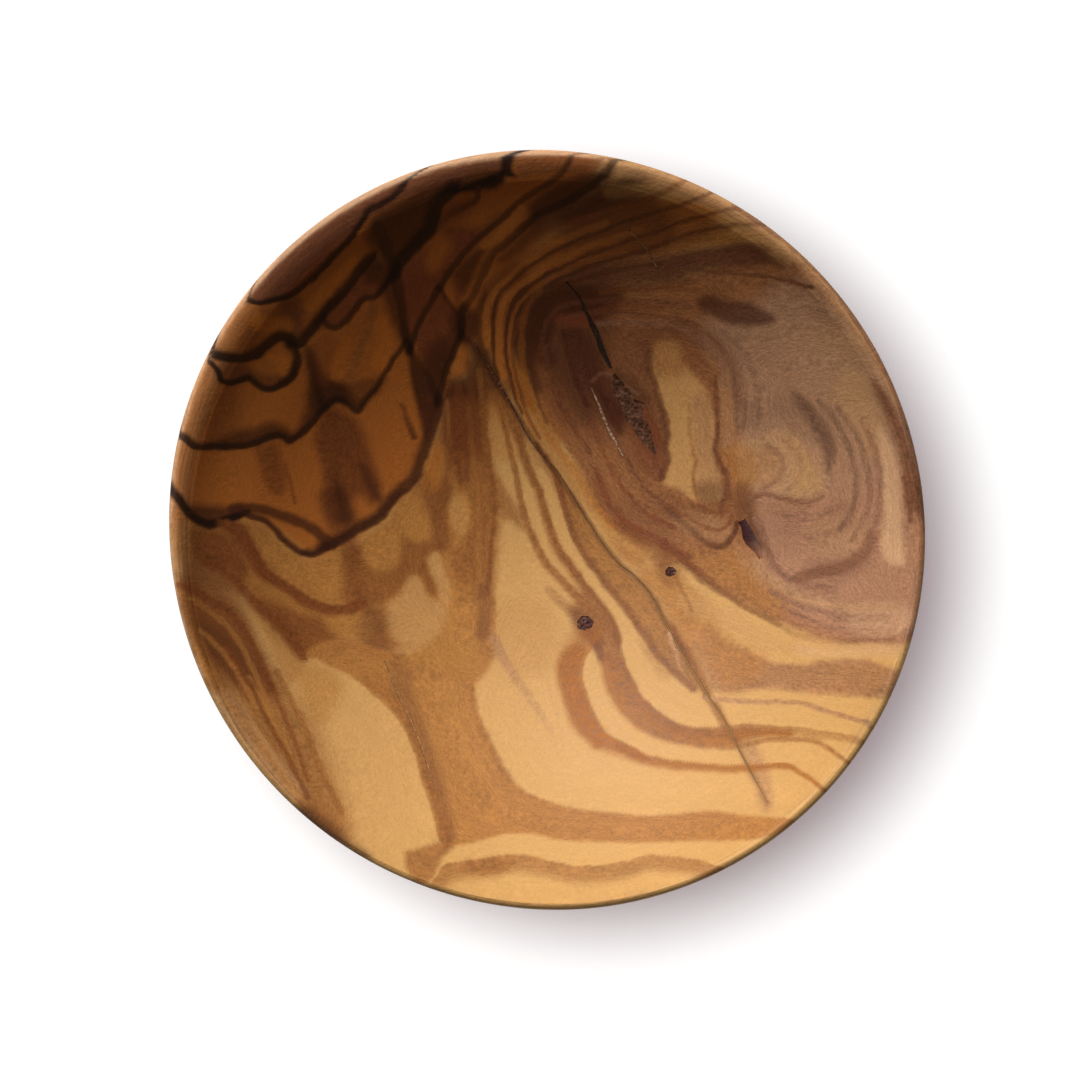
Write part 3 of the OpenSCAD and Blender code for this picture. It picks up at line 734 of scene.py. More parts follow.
    "lip_edge_painted_highlight": ("bright", 0.7, 2.5,
        "203,675 190,641 180,606 175,570 172,530 177,464 192,400 219,340 257,287 304,240 359,203 418,176 "
        "482,161 547,155 600,158 601,149 547,146 480,152 415,167 354,195 298,233 250,280 211,336 183,397 "
        "168,463 163,530 166,570 171,608 182,645 196,680"),
    "top_blot": ("ink", 0.95, 3,
        "446,190 460,186 476,180 492,174 500,168 501,146 514,148 512,168 516,177 506,177 502,184 494,188 "
        "480,190 466,192 452,193"),
}

# Each line: tone, strength at both ends, width to the left and right of its travel at both ends, points
growth_lines = {
    "first_black": ("ink", (0.9, 0.85), (6, 8), (2.5, 2.5),
        "244,298 254,303 264,304 276,300 290,296 301,289 311,281 321,272 331,261 341,250 350,240 358,229 "
        "364,219 372,210 386,203 398,194 405,185 410,172"),
    "cell_light": ("orange", (0.6, 0.9), (8, 8), (8, 8), "308,306 318,297 330,284 342,272 352,262"),
    "cell_light_two": ("orange", (0.6, 0.7), (12, 14), (12, 14), "258,322 272,326 284,326"),
    "cell_light_three": ("orange", (0.7, 0.7), (10, 12), (10, 12), "380,320 384,340 378,362"),
    "cell_light_four": ("orange", (0.5, 0.6), (8, 10), (8, 10), "345,340 338,360 336,374"),
    "cell_light_five": ("orange", (0.5, 0.5), (8, 8), (8, 8), "272,356 282,360 284,370"),
    "second_black": ("ink", (0.95, 0.85), (12, 11), (5, 5),
        "207,352 215,357 226,359 240,360 252,357 262,351 270,344 278,338 285,338 292,343 299,344 306,337 "
        "313,328 322,317 332,305 342,294 351,284 358,274 366,265 374,257"),
    "second_black_loop": ("ink", (0.92, 0.9), (4, 11), (4, 4),
        "206,360 214,366 219,374 221,381 230,384 240,381 247,378 254,383 262,389 270,390 279,387 287,382 "
        "293,376 297,367 298,357 295,347 290,342"),
    "third_black": ("ink", (0.7, 0.8), (7, 7), (3, 3),
        "321,318 326,326 334,328 343,324 351,316 358,306 365,299 375,297 384,289 392,276 398,268"),
    "loop_smear_line": ("ink", (0.25, 0.5), (5, 7), (5, 7), "303,346 307,358 312,374 318,392 324,408"),
    "cell_streak": ("nut", (0.7, 0.5), (6, 6), (6, 6), "373,304 369,322 362,342 355,360 349,378"),
    "top_smear_right": ("ink", (0.5, 0.75), (10, 8), (8, 6),
        "376,226 388,252 395,275 400,300 403,325 408,350"),
    "fourth_black": ("ink", (0.92, 0.75), (9, 6), (3, 2.5),
        "172,434 184,439 192,446 200,448 215,448 230,448 242,447 254,444 264,440 272,437 279,437 285,441 "
        "289,443 294,440 302,434 309,427 316,418 323,410 329,405 336,400 346,404 356,412 362,404 370,395 "
        "378,386 383,376 389,367 395,357 401,348 406,340"),
    "fifth_black": ("ink", (0.95, 0.9), (8, 6), (7, 5),
        "166,480 173,492 180,501 187,511 195,519 202,524 209,526 217,524 226,520 234,517 241,514"),
    "fifth_lower_branch": ("umber", (0.95, 0.95), (7, 7), (3, 3),
        "241,513 250,517 262,521 271,528 280,538 290,547 298,553 305,555 313,556 320,553 326,549 334,545"),
    "fifth_upper_branch": ("umber", (0.85, 0.85), (8, 9), (7, 8),
        "232,509 245,508 258,509 270,512 285,517 300,523 312,530 322,538 331,544"),
    "fifth_rising": ("umber", (0.9, 0.9), (15, 12), (4, 5),
        "324,549 334,545 345,539 352,534 361,529 372,524 382,516 389,505 398,495 408,487 416,478 421,464 "
        "426,448 432,431 437,414 440,400"),
    "fifth_rising_core": ("ink", (0.5, 0.35), (10, 6), (1.5, 1.5),
        "306,555 316,553 326,548 336,544 347,537 356,531 366,527 376,520 385,511 392,501 400,493"),
    "orange_dash": ("umber", (0.5, 0.8), (3, 5), (4, 5), "401,404 405,415 409,426 413,437"),
    "left_smear_streak": ("chestnut", (0.4, 0.7), (3, 3), (3, 3), "284,462 288,476 291,490 294,502"),
    "fifth_thick": ("ink", (0.85, 0.6), (5, 5), (6, 4), "194,518 207,523 220,521 232,517 247,512"),
    "column_dark_one": ("chestnut", (0.6, 0.4), (3, 3), (3, 3), "455,398 457,430 458,460 460,492"),
    "column_pale_one": ("tan", (0.45, 0.3), (3, 3), (3, 3), "446,400 448,430 452,458 455,474"),
    "column_pale_two": ("tan", (0.4, 0.5), (4, 4), (4, 4),
        "469,408 471,440 473,470 476,500 478,540 480,580"),
    "column_dark_two": ("chestnut", (0.4, 0.6), (3, 3), (3, 3),
        "486,440 491,470 494,500 493,530 490,560 488,590"),
    "v_left": ("ink", (0.75, 0.7), (5, 5), (5, 6),
        "462,318 460,334 455,347 449,360 444,374 440,390 436,404"),
    "v_left_wedge": ("ink", (0.6, 0.6), (5, 4), (5, 5), "410,344 414,354 420,364 427,374 433,386 437,398"),
    "wedge_top_line": ("umber", (0.8, 0.7), (4, 4), (4, 4), "438,286 446,297 453,307 460,317 464,326"),
    "first_diagonal": ("ink", (0.95, 0.85), (7, 7), (15, 13),
        "455,190 446,197 438,206 435,218 431,229 421,240 410,252 400,264 396,275"),
    "first_diagonal_streak": ("umber", (0.8, 0.3), (4, 4), (5, 6),
        "478,188 477,198 470,204 458,210 446,218 438,228"),
    "second_diagonal": ("ink", (0.65, 0.75), (3, 4), (6, 7),
        "577,146 571,160 564,172 556,180 545,187 532,194 520,203 510,212 502,220 492,227 482,236 474,244 "
        "466,252 458,262 450,272 444,282 438,290 431,302 424,314 418,326 414,338 411,348"),
    "third_diagonal": ("ink", (0.75, 0.6), (3, 5), (9, 7),
        "622,146 616,160 609,172 600,181 588,190 574,199 560,206 548,211 536,217 526,226 514,236 504,245 "
        "496,251 490,260 484,272 478,286 470,300 463,310 461,322 462,336"),
    "between_cells": ("gold", (0.8, 0.9), (5, 4), (5, 5),
        "522,207 516,216 507,225 499,234 491,242 484,246"),
    "pale_ring_one": ("gold", (0.2, 0.95), (5, 6), (5, 6),
        "606,222 582,231 558,242 540,252 524,264 508,278 497,290 489,302 486,315 486,330 488,344"),
    "pale_ring_two": ("gold", (0.2, 0.95), (5, 6), (5, 6),
        "640,228 612,238 590,245 570,253 550,263 533,274 518,285 508,295 502,308 500,325 499,345 500,362 "
        "503,374"),
    "pale_ring_three": ("gold", (0.3, 0.8), (3, 3), (3, 3),
        "570,268 552,276 538,284 524,297 516,308 511,325 509,342 510,362 513,380 519,400 528,420 536,434"),
    "ring_line_one": ("umber", (0.55, 0.8), (3, 3), (3, 3),
        "722,188 690,201 655,212 625,221 600,231 578,239 556,249 536,261 520,272 507,284 499,293 495,306 "
        "493,320 493,340 494,360 498,378"),
    "ring_line_two": ("umber", (0.55, 0.8), (3, 2.5), (3, 2.5),
        "748,206 714,213 680,222 655,231 632,239 608,247 586,254 566,263 548,272 532,282 519,291 512,303 "
        "508,320 506,340 507,360 511,380 516,400 522,413"),
    "ring_line_three": ("umber", (0.5, 0.7), (3, 3), (4, 3),
        "772,224 730,226 692,233 668,241 645,249 622,256 600,262 580,269 560,277 544,286"),
    "ring_line_four": ("umber", (0.5, 0.6), (4, 4), (4, 4),
        "660,262 635,266 610,270 590,275 570,281 552,286"),
    "ring_line_inner": ("chestnut", (0.5, 0.8), (2.5, 2.5), (2.5, 2.5),
        "528,306 519,318 514,335 513,352 515,370 518,385 523,402 530,420 540,438"),
    "ring_inner_gold": ("toffee", (0.2, 0.75), (5, 5), (5, 5),
        "540,289 530,301 524,316 522,335 522,355 524,375 528,392 534,410"),
    "ring_inner_edge": ("umber", (0.4, 0.5), (3, 3), (3, 3),
        "530,328 528,350 530,370 534,388 540,405 548,422"),
    "column_streak_one": ("chestnut", (0.6, 0.4), (5, 5), (5, 5), "458,385 456,410 452,440 448,470"),
    "column_streak_two": ("chestnut", (0.5, 0.5), (5, 5), (5, 5),
        "468,362 470,390 470,420 468,450 466,480"),
    "column_streak_three": ("nut", (0.7, 0.6), (4, 4), (5, 5), "478,370 482,400 484,430 487,460 490,490"),
    "ring_line_zero": ("chestnut", (0.6, 0.5), (4, 4), (5, 5),
        "690,176 668,190 640,202 612,209 588,217 566,226"),
    "heart_band_top": ("chestnut", (0.6, 0.4), (3, 3), (3, 3), "600,291 630,289 655,288 680,287 702,291"),
    "top_right_streak": ("plum", (0.6, 0.9), (3, 3), (3, 3),
        "690,267 710,272 728,272 752,274 770,276 790,281 812,288"),
    "heart_streak": ("russet", (0.7, 0.4), (8, 8), (8, 8), "560,318 576,320 590,322"),
    "heart_red_one": ("wine", (0.6, 0.7), (4, 5), (3, 4), "563,330 567,350 573,370 580,390 587,404"),
    "heart_red_two": ("wine", (0.7, 0.5), (4, 4), (5, 5), "598,388 606,402 613,418 620,430"),
    "bark_fibres": ("mauve", (0.3, 0.5), (3, 3), (3, 3), "592,380 600,373 610,373 618,380 628,386 638,392"),
    "bark_fibres_low": ("russet", (0.5, 0.6), (4, 4), (4, 4), "640,400 648,412 654,426 660,442"),
    "heart_ring_gold": ("russet", (0.6, 0.5), (5, 5), (4, 4), "560,322 590,312 615,306 640,305 662,307"),
    "heart_line_left": ("plum", (0.6, 0.5), (5, 5), (5, 5),
        "545,345 548,368 556,392 567,414 579,434 590,452"),
    "heart_line_one": ("russet", (0.4, 0.8), (4, 4), (3, 3),
        "590,420 600,445 610,465 621,485 636,503 654,518 676,528"),
    "heart_line_two": ("plum", (0.6, 0.6), (4, 4), (4, 4),
        "608,425 620,446 632,468 645,485 660,500 680,516"),
    "heart_line_three": ("plum", (0.5, 0.4), (5, 5), (5, 5), "640,428 648,445 656,462 662,478"),
    "heart_line_four": ("russet", (0.6, 0.8), (5, 5), (4, 4),
        "596,470 604,492 614,510 630,524 650,535 672,546 690,558"),
    "island_left_edge": ("wine", (0.4, 0.5), (3, 3), (7, 7),
        "651,352 653,370 658,388 663,404 668,420 670,434 668,446 671,457 668,466 663,478"),
    "island_line": ("nut", (0.3, 0.85), (2.5, 2.5), (3, 3),
        "690,405 691,425 693,445 697,462 695,474 696,486 700,500"),
    "island_right": ("plum", (0.6, 0.9), (4, 4), (3, 4),
        "716,376 718,395 719,415 718,435 716,450 721,462 727,474 729,484 727,496 722,508"),
    "grey_line_one": ("slate", (0.6, 0.5), (4, 4), (3, 3), "735,372 736,392 737,412 738,432"),
    "grey_line_two": ("slate", (0.5, 0.6), (4, 4), (4, 4), "745,400 746,415 744,428"),
    "knot_loop_one": ("umber", (0.3, 0.8), (7, 6), (3, 3),
        "668,512 684,524 697,536 709,544 720,547 729,544 735,535 740,524"),
    "knot_loop_two": ("chestnut", (0.5, 0.6), (3, 3), (3, 3),
        "670,505 684,514 700,524 714,530 726,528 734,518"),
    "knot_loop_three": ("chestnut", (0.5, 0.5), (3, 3), (3, 3), "690,500 706,508 720,512 732,506"),
    "knot_right_band": ("mauve", (0.9, 0.5), (5, 5), (6, 8),
        "758,518 764,530 768,546 774,561 784,574 798,582 815,586 835,588"),
    "lower_plum_blur": ("plum", (0.6, 0.4), (9, 9), (9, 9), "800,578 820,572 842,568 862,555 874,535"),
    "lobe_edge_one": ("slate", (0.5, 0.5), (3, 3), (5, 6),
        "829,474 829,462 828,450 824,437 817,423 809,410 799,396"),
    "lobe_edge_two": ("slate", (0.6, 0.6), (4, 4), (5, 5),
        "820,400 832,414 842,430 850,447 855,468 857,490 852,515 842,530"),
    "lobe_edge_three": ("slate", (0.45, 0.45), (4, 4), (4, 4),
        "838,408 850,422 860,440 866,460 870,480 870,500 864,521 852,540"),
    "lobe_edge_four": ("mauve", (0.4, 0.5), (4, 4), (4, 4),
        "862,420 872,440 879,462 882,486 880,512 872,536"),
    "lobe_under": ("plum", (0.6, 0.3), (3, 3), (4, 4), "757,497 768,494 780,497 796,500 812,501 824,496"),
    "lobe_inner": ("mauve", (0.4, 0.6), (4, 4), (5, 5), "768,444 781,454 785,469 776,482 762,491"),
    "lobe_inner_two": ("mauve", (0.3, 0.4), (3, 3), (4, 4), "785,440 797,450 803,464 799,479 788,490"),
    "lilac_arc": ("mauve", (0.3, 0.5), (4, 4), (5, 5), "775,512 800,518 824,516 842,506"),
    "lilac_arc_two": ("mauve", (0.3, 0.5), (4, 4), (5, 5), "782,530 806,537 832,533 852,522"),
    "heart_ring_one": ("plum", (0.5, 0.5), (4, 4), (4, 4),
        "540,352 543,330 552,313 568,303 590,300 620,299 650,300 682,303 704,312"),
    "heart_ring_two": ("plum", (0.6, 0.4), (3, 3), (4, 4),
        "552,350 556,332 566,319 582,312 606,310 636,311 664,314 690,321 710,334 726,352"),
    "heart_ring_three": ("mauve", (0.6, 0.5), (4, 4), (4, 4),
        "600,322 630,321 660,322 686,330 706,344 720,362 728,384"),
    "grey_arc_one": ("slate", (0.3, 0.4), (5, 5), (5, 5), "724,330 742,348 754,370 760,394 760,416"),
    "heart_lower_one": ("plum", (0.6, 0.1), (5, 5), (3, 4),
        "666,546 680,557 690,568 700,579 715,590 730,598 745,607 760,615 775,622 790,632 805,638 830,641 "
        "860,641 890,640 908,636"),
    "heart_lower_line": ("chestnut", (0.7, 0.4), (8, 5), (2, 2),
        "662,548 680,558 697,571 714,587 731,600 748,610 764,618 780,627"),
    "heart_lower_two": ("mauve", (0.7, 0.2), (5, 5), (4, 4),
        "772,592 792,602 814,610 836,616 860,619 888,616"),
    "heart_lower_three": ("mauve", (0.7, 0.2), (4, 4), (4, 4), "784,606 806,618 828,626 850,630 880,630"),
    "pale_lower_strip": ("biscuit", (0.6, 0.5), (6, 7), (6, 7),
        "757,560 772,578 790,591 810,600 834,606 860,608 890,606"),
    "small_knot_line": ("nut", (0.6, 0.7), (2.5, 2.5), (2.5, 2.5), "676,576 682,588 688,600 694,612"),
    "right_edge_line": ("plum", (0.6, 0.7), (3, 3), (4, 4), "905,478 908,492 910,508 911,520"),
    # Painted shade: a dark line along the outer edge at the right, where the rounded edge and the wall under
    # it turn away from the light.
    "lip_edge_painted_shade": ("plum", (0.6, 0.6), (4, 4), (4, 4),
        "735,206 788,243 834,289 864,332 880,361 896,395 908,428 918,462 924,500 926,530"),
    "gold_by_crack": ("gold", (0.3, 0.5), (3, 6), (3, 6),
        "521,372 525,385 530,400 537,416 546,432 556,446 568,462 582,482 596,504 612,526"),
    "pale_one": ("sand", (0, 0), (4, 8), (4, 8), "490,398 491,412 493,430 497,448 501,464 507,480 513,496"),
    "left_band_one": ("nut", (0.8, 0.9), (3, 4), (3, 11),
        "498,388 500,404 504,424 509,445 515,465 519,482 522,502 526,517 531,531 538,545 546,560 555,571 "
        "567,584 580,596 588,604"),
    "left_band_two": ("nut", (0.8, 0.9), (5, 5), (7, 14),
        "508,405 513,420 520,440 527,460 534,477 540,490 544,505 549,520 554,535 561,550 570,563 579,575 "
        "589,587 599,598 607,608 613,618 617,630 619,642"),
    "left_band_two_edge": ("chestnut", (0.3, 0.7), (2.5, 2.5), (5, 6),
        "520,440 527,460 534,477 540,490 544,505 549,520 554,535 561,550 570,563 579,575 589,587 599,598 "
        "607,608 613,618 617,630 619,642 622,655 627,670 634,683 642,697 652,708 663,717 675,725 690,729 "
        "710,731"),
    "pale_three": ("straw", (0.7, 0.95), (4, 10), (4, 8),
        "540,468 548,482 552,500 557,520 565,540 576,558 589,577 603,594 615,610 624,626 632,645 641,662 "
        "651,678"),
    "left_band_three": ("chestnut", (0.8, 0.75), (7, 9), (2.5, 4),
        "536,446 546,460 553,472 557,484 561,500 566,518 573,536 581,551 591,566 602,581 613,594 624,608 "
        "634,622 643,636 652,650 662,662 676,676 692,690"),
    "crack_stain": ("umber", (0.7, 0.35), (4, 4), (4, 4),
        "466,338 476,348 486,364 496,382 508,401 520,420 533,440 547,460 560,478 575,500 590,522 605,545 "
        "620,563 636,578 652,595 664,617 676,638 690,662 705,690 722,716 739,747 756,781 767,803"),
    "crack_stain_low": ("nut", (0.6, 0.75), (6, 9), (5, 7),
        "672,626 684,646 695,668 706,690 718,712 732,738"),
    "crack_blotch": ("chestnut", (0.6, 0.5), (3.5, 3.5), (4, 4), "674,630 681,643 688,656 692,664"),
    "crack_pale_edge": ("bright", (0.75, 0.2), (2.5, 2), (3, 2), "671,634 674,646 678,658 682,672"),
    "halo_of_knot": ("chestnut", (0.3, 0.8), (6, 11), (6, 12),
        "548,590 558,600 568,608 578,616 586,624 594,634 600,644"),
    "knot_tail": ("smoke", (0.8, 0.6), (6, 6), (6, 8), "588,628 594,638 599,648 603,658"),
    "knot_band": ("nut", (0.85, 0.5), (2.5, 2.5), (28, 7),
        "596,604 606,618 612,634 617,650 622,664 629,680 640,696 654,710 667,720 682,727 700,730 722,730 "
        "745,726 770,727 795,729 820,732 845,735 862,740 874,750"),
    "knot_band_under": ("nut", (0.5, 0.8), (3, 3), (5, 4),
        "640,722 656,733 672,740 692,744 715,747 745,745 770,740 795,740 815,741 826,746 836,754 852,764"),
    "lobe_edge": ("toffee", (0.7, 0.9), (2.5, 2.5), (36, 16),
        "592,650 584,661 582,677 585,693 590,707 596,720 603,731 612,739 626,746 641,753"),
    "lobe_edge_end": ("toffee", (0.9, 0.8), (2.5, 2.5), (14, 4),
        "622,744 641,753 656,759 672,763 690,765 712,766 740,767 768,766 790,766 802,773 814,781 832,796"),
    "thin_band": ("clay", (0.8, 0.9), (3, 3), (5, 4),
        "706,697 724,700 745,701 770,702 792,702 806,704 822,709 838,714 852,718 866,722 876,730"),
    "bottom_band": ("nut", (0.75, 0.65), (2.5, 2.5), (24, 20),
        "440,872 446,866 460,864 485,861 510,857 535,859 556,864 575,868 600,867 625,864 642,858 662,857 "
        "690,860 712,866 730,872"),
    "band_left_margin": ("nut", (0.55, 0.55), (20, 16), (2, 2),
        "366,690 376,698 392,713 404,730 412,747 419,768 424,786 431,806 436,826 440,840"),
    "band_right_margin": ("nut", (0.25, 0.2), (2, 2), (10, 8),
        "474,690 476,706 480,720 487,734 495,750 504,766 514,782 530,796 552,804 585,812 620,815 650,817 "
        "690,814 730,814"),
    "grey_streak": ("clay", (0.8, 0.25), (5, 4), (12, 5),
        "496,640 506,660 519,681 533,702 546,722 552,732"),
    "column_foot_shade": ("smoke", (0.3, 0.5), (10, 12), (10, 10), "484,590 485,605 484,620 482,634"),
    "band_crack_shade": ("smoke", (0, 0.2), (10, 10), (8, 8),
        "388,650 398,678 408,706 418,734 426,757 432,780 438,800 444,820 450,838"),
    "left_line_one": ("chestnut", (0.95, 0.9), (5, 6), (14, 11),
        "226,522 240,530 250,545 260,563 268,574 284,585 298,595 312,603 330,609 346,608 358,603"),
    "left_line_two": ("chestnut", (0.75, 0.85), (3, 3), (9, 12),
        "204,560 222,568 237,580 248,593 260,605 271,616 283,628 294,641 303,654"),
    "left_line_three": ("chestnut", (0.8, 0.75), (4, 4), (5, 5),
        "180,584 198,592 215,602 232,615 245,632 255,650 262,668 272,690"),
    "left_pale_one": ("tan", (0.6, 0.6), (4, 4), (4, 4),
        "190,598 212,612 228,628 241,648 252,670 262,692 272,714"),
    "left_pale_two": ("tan", (0.6, 0.7), (4, 4), (4, 4), "200,630 216,645 230,662 244,685 256,708"),
    "left_pale_three": ("sand", (0.1, 0.85), (4, 4), (4, 4),
        "222,672 240,700 252,722 265,745 278,765 290,785 298,797"),
    "left_pale_four": ("tan", (0.5, 0.6), (6, 6), (6, 6),
        "196,650 212,676 230,704 250,732 272,762 290,786 304,802"),
    "left_pale_five": ("honey", (0.6, 0.7), (4, 4), (4, 4), "248,678 260,700 272,722 282,742 290,760"),
    "left_dark_one": ("chestnut", (0.7, 0.75), (4, 4), (3, 4),
        "225,650 238,668 252,690 262,712 275,735 287,757 298,778 308,798"),
    "left_dark_two": ("chestnut", (0.6, 0.6), (4, 4), (3, 3),
        "255,655 264,672 273,692 283,715 292,738 300,760 308,782"),
    "left_dark_three": ("nut", (0.7, 0.7), (5, 6), (4, 5),
        "275,672 288,697 300,720 310,745 318,765 330,792 340,812"),
    "left_dark_spot": ("umber", (0, 0.2), (5, 5), (5, 5), "240,672 248,680 254,688"),
}

# Lines that are not drawn and only lead the fine lines
guide_lines = {
    "pith": "583,285 594,322 606,360 622,400 640,436 652,462",
    "heart_edge_left": "518,345 524,368 540,405 558,436 582,468 598,500 612,522 632,538 652,546",
    "heart_edge_top":
        "518,330 521,312 530,297 546,286 566,281 590,282 620,284 650,283 690,277 720,268 748,262 775,262",
    "column_right":
        "487,420 490,440 493,460 497,480 500,500 498,520 496,540 495,560 494,590 494,620 492,645",
    "column_middle": "455,400 458,440 462,480 466,520 468,560 466,600 462,640",
    "main_band_middle": "425,655 440,690 452,735 470,780 500,815 560,825 650,830 760,826",
    "straw_lobe": "325,690 345,740 362,790 380,840",
    "straw_lobe_right": "520,640 530,680 550,725 585,765 640,785 720,795 790,800",
    "rose_band_top": "700,625 740,645 780,663 820,662 860,660 893,668",
    "rose_band_foot": "728,690 770,689 840,695 890,695",
    "smear_middle": "328,410 338,450 346,500",
    "smear_left": "262,445 270,470 280,495",
    "rim_left": "215,390 219,440 228,495",
    "rim_upper_left": "290,250 305,290 312,330",
    "bottom_edge": "440,895 500,890 560,893 640,888 700,880",
    "right_rim": "890,420 905,470 910,530 905,590",
    "upper_right_one": "722,336 770,334 820,333 862,340",
    "upper_right_two": "745,368 785,364 830,362 878,372",
    "upper_right_three": "730,290 770,294 810,298 836,306",
}

# How far out the growth lines lie from the pith, in pixels. They lead the fine lines between them.
layers = {
    "pith": 0, "heart_red_two": 12, "heart_line_three": 12, "heart_red_one": 22, "island_left_edge": 28,
    "heart_line_two": 30, "heart_line_one": 42, "heart_line_left": 48, "heart_ring_three": 40,
    "heart_ring_two": 50, "heart_ring_one": 60, "island_line": 50, "heart_line_four": 62,
    "heart_band_top": 72, "island_right": 70, "heart_edge_left": 76, "heart_edge_top": 80,
    "heart_lower_one": 80, "heart_lower_three": 70, "heart_lower_two": 60, "knot_right_band": 62,
    "knot_loop_one": 66, "knot_loop_three": 54, "grey_line_one": 90, "grey_arc_one": 105, "lobe_inner": 110,
    "lobe_inner_two": 125, "lobe_under": 142, "upper_right_one": 100, "upper_right_two": 122,
    "lobe_edge_one": 150, "lilac_arc": 155, "lilac_arc_two": 170, "upper_right_three": 84,
    "lobe_edge_two": 180, "lobe_edge_three": 195, "lobe_edge_four": 212, "right_rim": 240,
    "ring_line_four": 88, "ring_line_three": 100, "ring_line_two": 115, "ring_line_one": 130,
    "ring_line_zero": 150, "third_diagonal": 165, "second_diagonal": 190, "first_diagonal": 225,
    "left_band_three": 100, "left_band_two": 115, "left_band_one": 130, "pale_one": 145,
    "column_right": 160, "column_middle": 185, "v_left": 190, "fifth_rising": 230, "rose_band_top": 108,
    "rose_band_foot": 130, "thin_band": 140, "knot_band": 160, "knot_band_under": 172, "lobe_edge": 200,
    "straw_lobe_right": 235, "band_right_margin": 265, "main_band_middle": 290, "band_left_margin": 325,
    "bottom_band": 330, "bottom_edge": 355, "straw_lobe": 370, "left_line_one": 250, "left_line_two": 275,
    "left_line_three": 305, "left_dark_two": 385, "left_dark_one": 400, "left_pale_four": 420,
    "top_smear_right": 245, "cell_streak": 265, "smear_middle": 290, "smear_left": 340, "rim_left": 380,
    "rim_upper_left": 330,
}


def to_linear(colour):
    """An sRGB hex colour as linear red, green and blue."""
    parts = [int(colour[i:i + 2], 16) / 255 for i in (1, 3, 5)]
    return [p / 12.92 if p <= 0.04045 else ((p + 0.055) / 1.055) ** 2.4 for p in parts]


def between(values, at):
    """Values of a square table, which repeats, between its points."""
    cell = np.floor(at).astype(int)
    f = at - cell
    near, far = cell % len(values), (cell + 1) % len(values)
    low = values[near[:, 0], near[:, 1]] * (1 - f[:, 0]) + values[far[:, 0], near[:, 1]] * f[:, 0]
    high = values[near[:, 0], far[:, 1]] * (1 - f[:, 0]) + values[far[:, 0], far[:, 1]] * f[:, 0]
    return low * (1 - f[:, 1]) + high * f[:, 1]


def soft_noise(at, size, seed):
    """Smooth noise from -1 to 1 with features of about that size."""
    cells = 64
    cell = np.floor(at / size)
    values = np.random.default_rng(seed).uniform(-1, 1, (cells, cells))
    return between(values, cell + ease(at / size - cell))


def nearest_on(line, at):
    """Distance to a line, less than 0 on the left of its travel, and the share of its length there."""
    best, signed, share = np.full(len(at), np.inf), np.zeros(len(at)), np.zeros(len(at))
    steps = np.diff(line, axis=0)
    lengths = np.linalg.norm(steps, axis=1)
    starts = np.concatenate([[0], np.cumsum(lengths)]) / lengths.sum()
    for k, step in enumerate(steps):
        away = at - line[k]
        t = np.clip(away @ step / max(step @ step, 1e-9), 0, 1)
        off = away - t[:, None] * step
        square = (off * off).sum(1)
        nearer = square < best
        side = np.sign(step[0] * away[:, 1] - step[1] * away[:, 0])
        best = np.where(nearer, square, best)
        signed = np.where(nearer, side * np.sqrt(square), signed)
        share = np.where(nearer, starts[k] + t * (starts[k + 1] - starts[k]), share)
    return signed, share


def inside(outline, at):
    """Which of these places lie inside an outline."""
    crossed = np.zeros(len(at), bool)
    for a, b in zip(outline, np.roll(outline, -1, axis=0)):
        spans = (a[1] > at[:, 1]) != (b[1] > at[:, 1])
        rise = b[1] - a[1] if b[1] != a[1] else 1e-9
        crossed ^= spans & (at[:, 0] < a[0] + (at[:, 1] - a[1]) * (b[0] - a[0]) / rise)
    return crossed


def figure_and_painted_light_colours(at):
    """The wood's colour at these pixels of the photo, with painted light and shade along the lip's outer
    edge, and how strongly fine lines show in it. Edges wander by about a pixel over 26 and over 7 pixels,
    and a line keeps its full strength near its middle."""
    wide, wide_wander, narrow, narrow_wander, fullness = 26, 0.7, 7, 0.8, 1.5
    wander = [soft_noise(at, wide, seed) * wide_wander + soft_noise(at, narrow, seed + 2) * narrow_wander
              for seed in (1, 2)]
    at = at + np.stack(wander, 1)
    paints = {tone: np.array([*to_linear(colour), grain]) for tone, (colour, grain) in tones.items()}
    colours = np.tile(paints["straw"], (len(at), 1))
    for tone, strength, soft, text in wood_areas.values():
        outline = curve_through(points_of(text), closed=True, steps=4)
        near = np.flatnonzero(((at > outline.min(0) - soft) & (at < outline.max(0) + soft)).all(1))
        if len(near):
            off = np.abs(nearest_on(np.vstack([outline, outline[:1]]), at[near])[0])
            off = np.where(inside(outline, at[near]), off, -off)
            share = strength * ease((off + soft) / (2 * soft))
            colours[near] += (paints[tone] - colours[near]) * share[:, None]
    for tone, strength, left, right, text in growth_lines.values():
        line = curve_through(points_of(text))
        reach = max(left + right)
        near = np.flatnonzero(((at > line.min(0) - reach) & (at < line.max(0) + reach)).all(1))
        if len(near):
            off, along = nearest_on(line, at[near])
            width = np.where(off < 0, np.interp(along, (0, 1), left), np.interp(along, (0, 1), right))
            share = np.interp(along, (0, 1), strength) * ease(fullness * (1 - np.abs(off) / width))
            colours[near] += (paints[tone] - colours[near]) * share[:, None]
    return colours


def layer_at(at):
    """How far out these pixels lie in the growth layers, from the lines round about them."""
    corner, step, cells, softening, fall_off = 100, 6, 150, 5, 1.5
    x, y = np.meshgrid(corner + step * np.arange(cells), corner + step * np.arange(cells), indexing="ij")
    grid = np.stack([x.ravel(), y.ravel()], 1)
    total, weights = np.zeros(len(grid)), np.zeros(len(grid))
    for name, layer in layers.items():
        text = guide_lines[name] if name in guide_lines else growth_lines[name][-1]
        off, _ = nearest_on(curve_through(points_of(text), steps=2), grid)
        weight = (off ** 2 + softening ** 2) ** -fall_off
        total, weights = total + layer * weight, weights + weight
    return between((total / weights).reshape(cells, cells), (at - corner) / step)


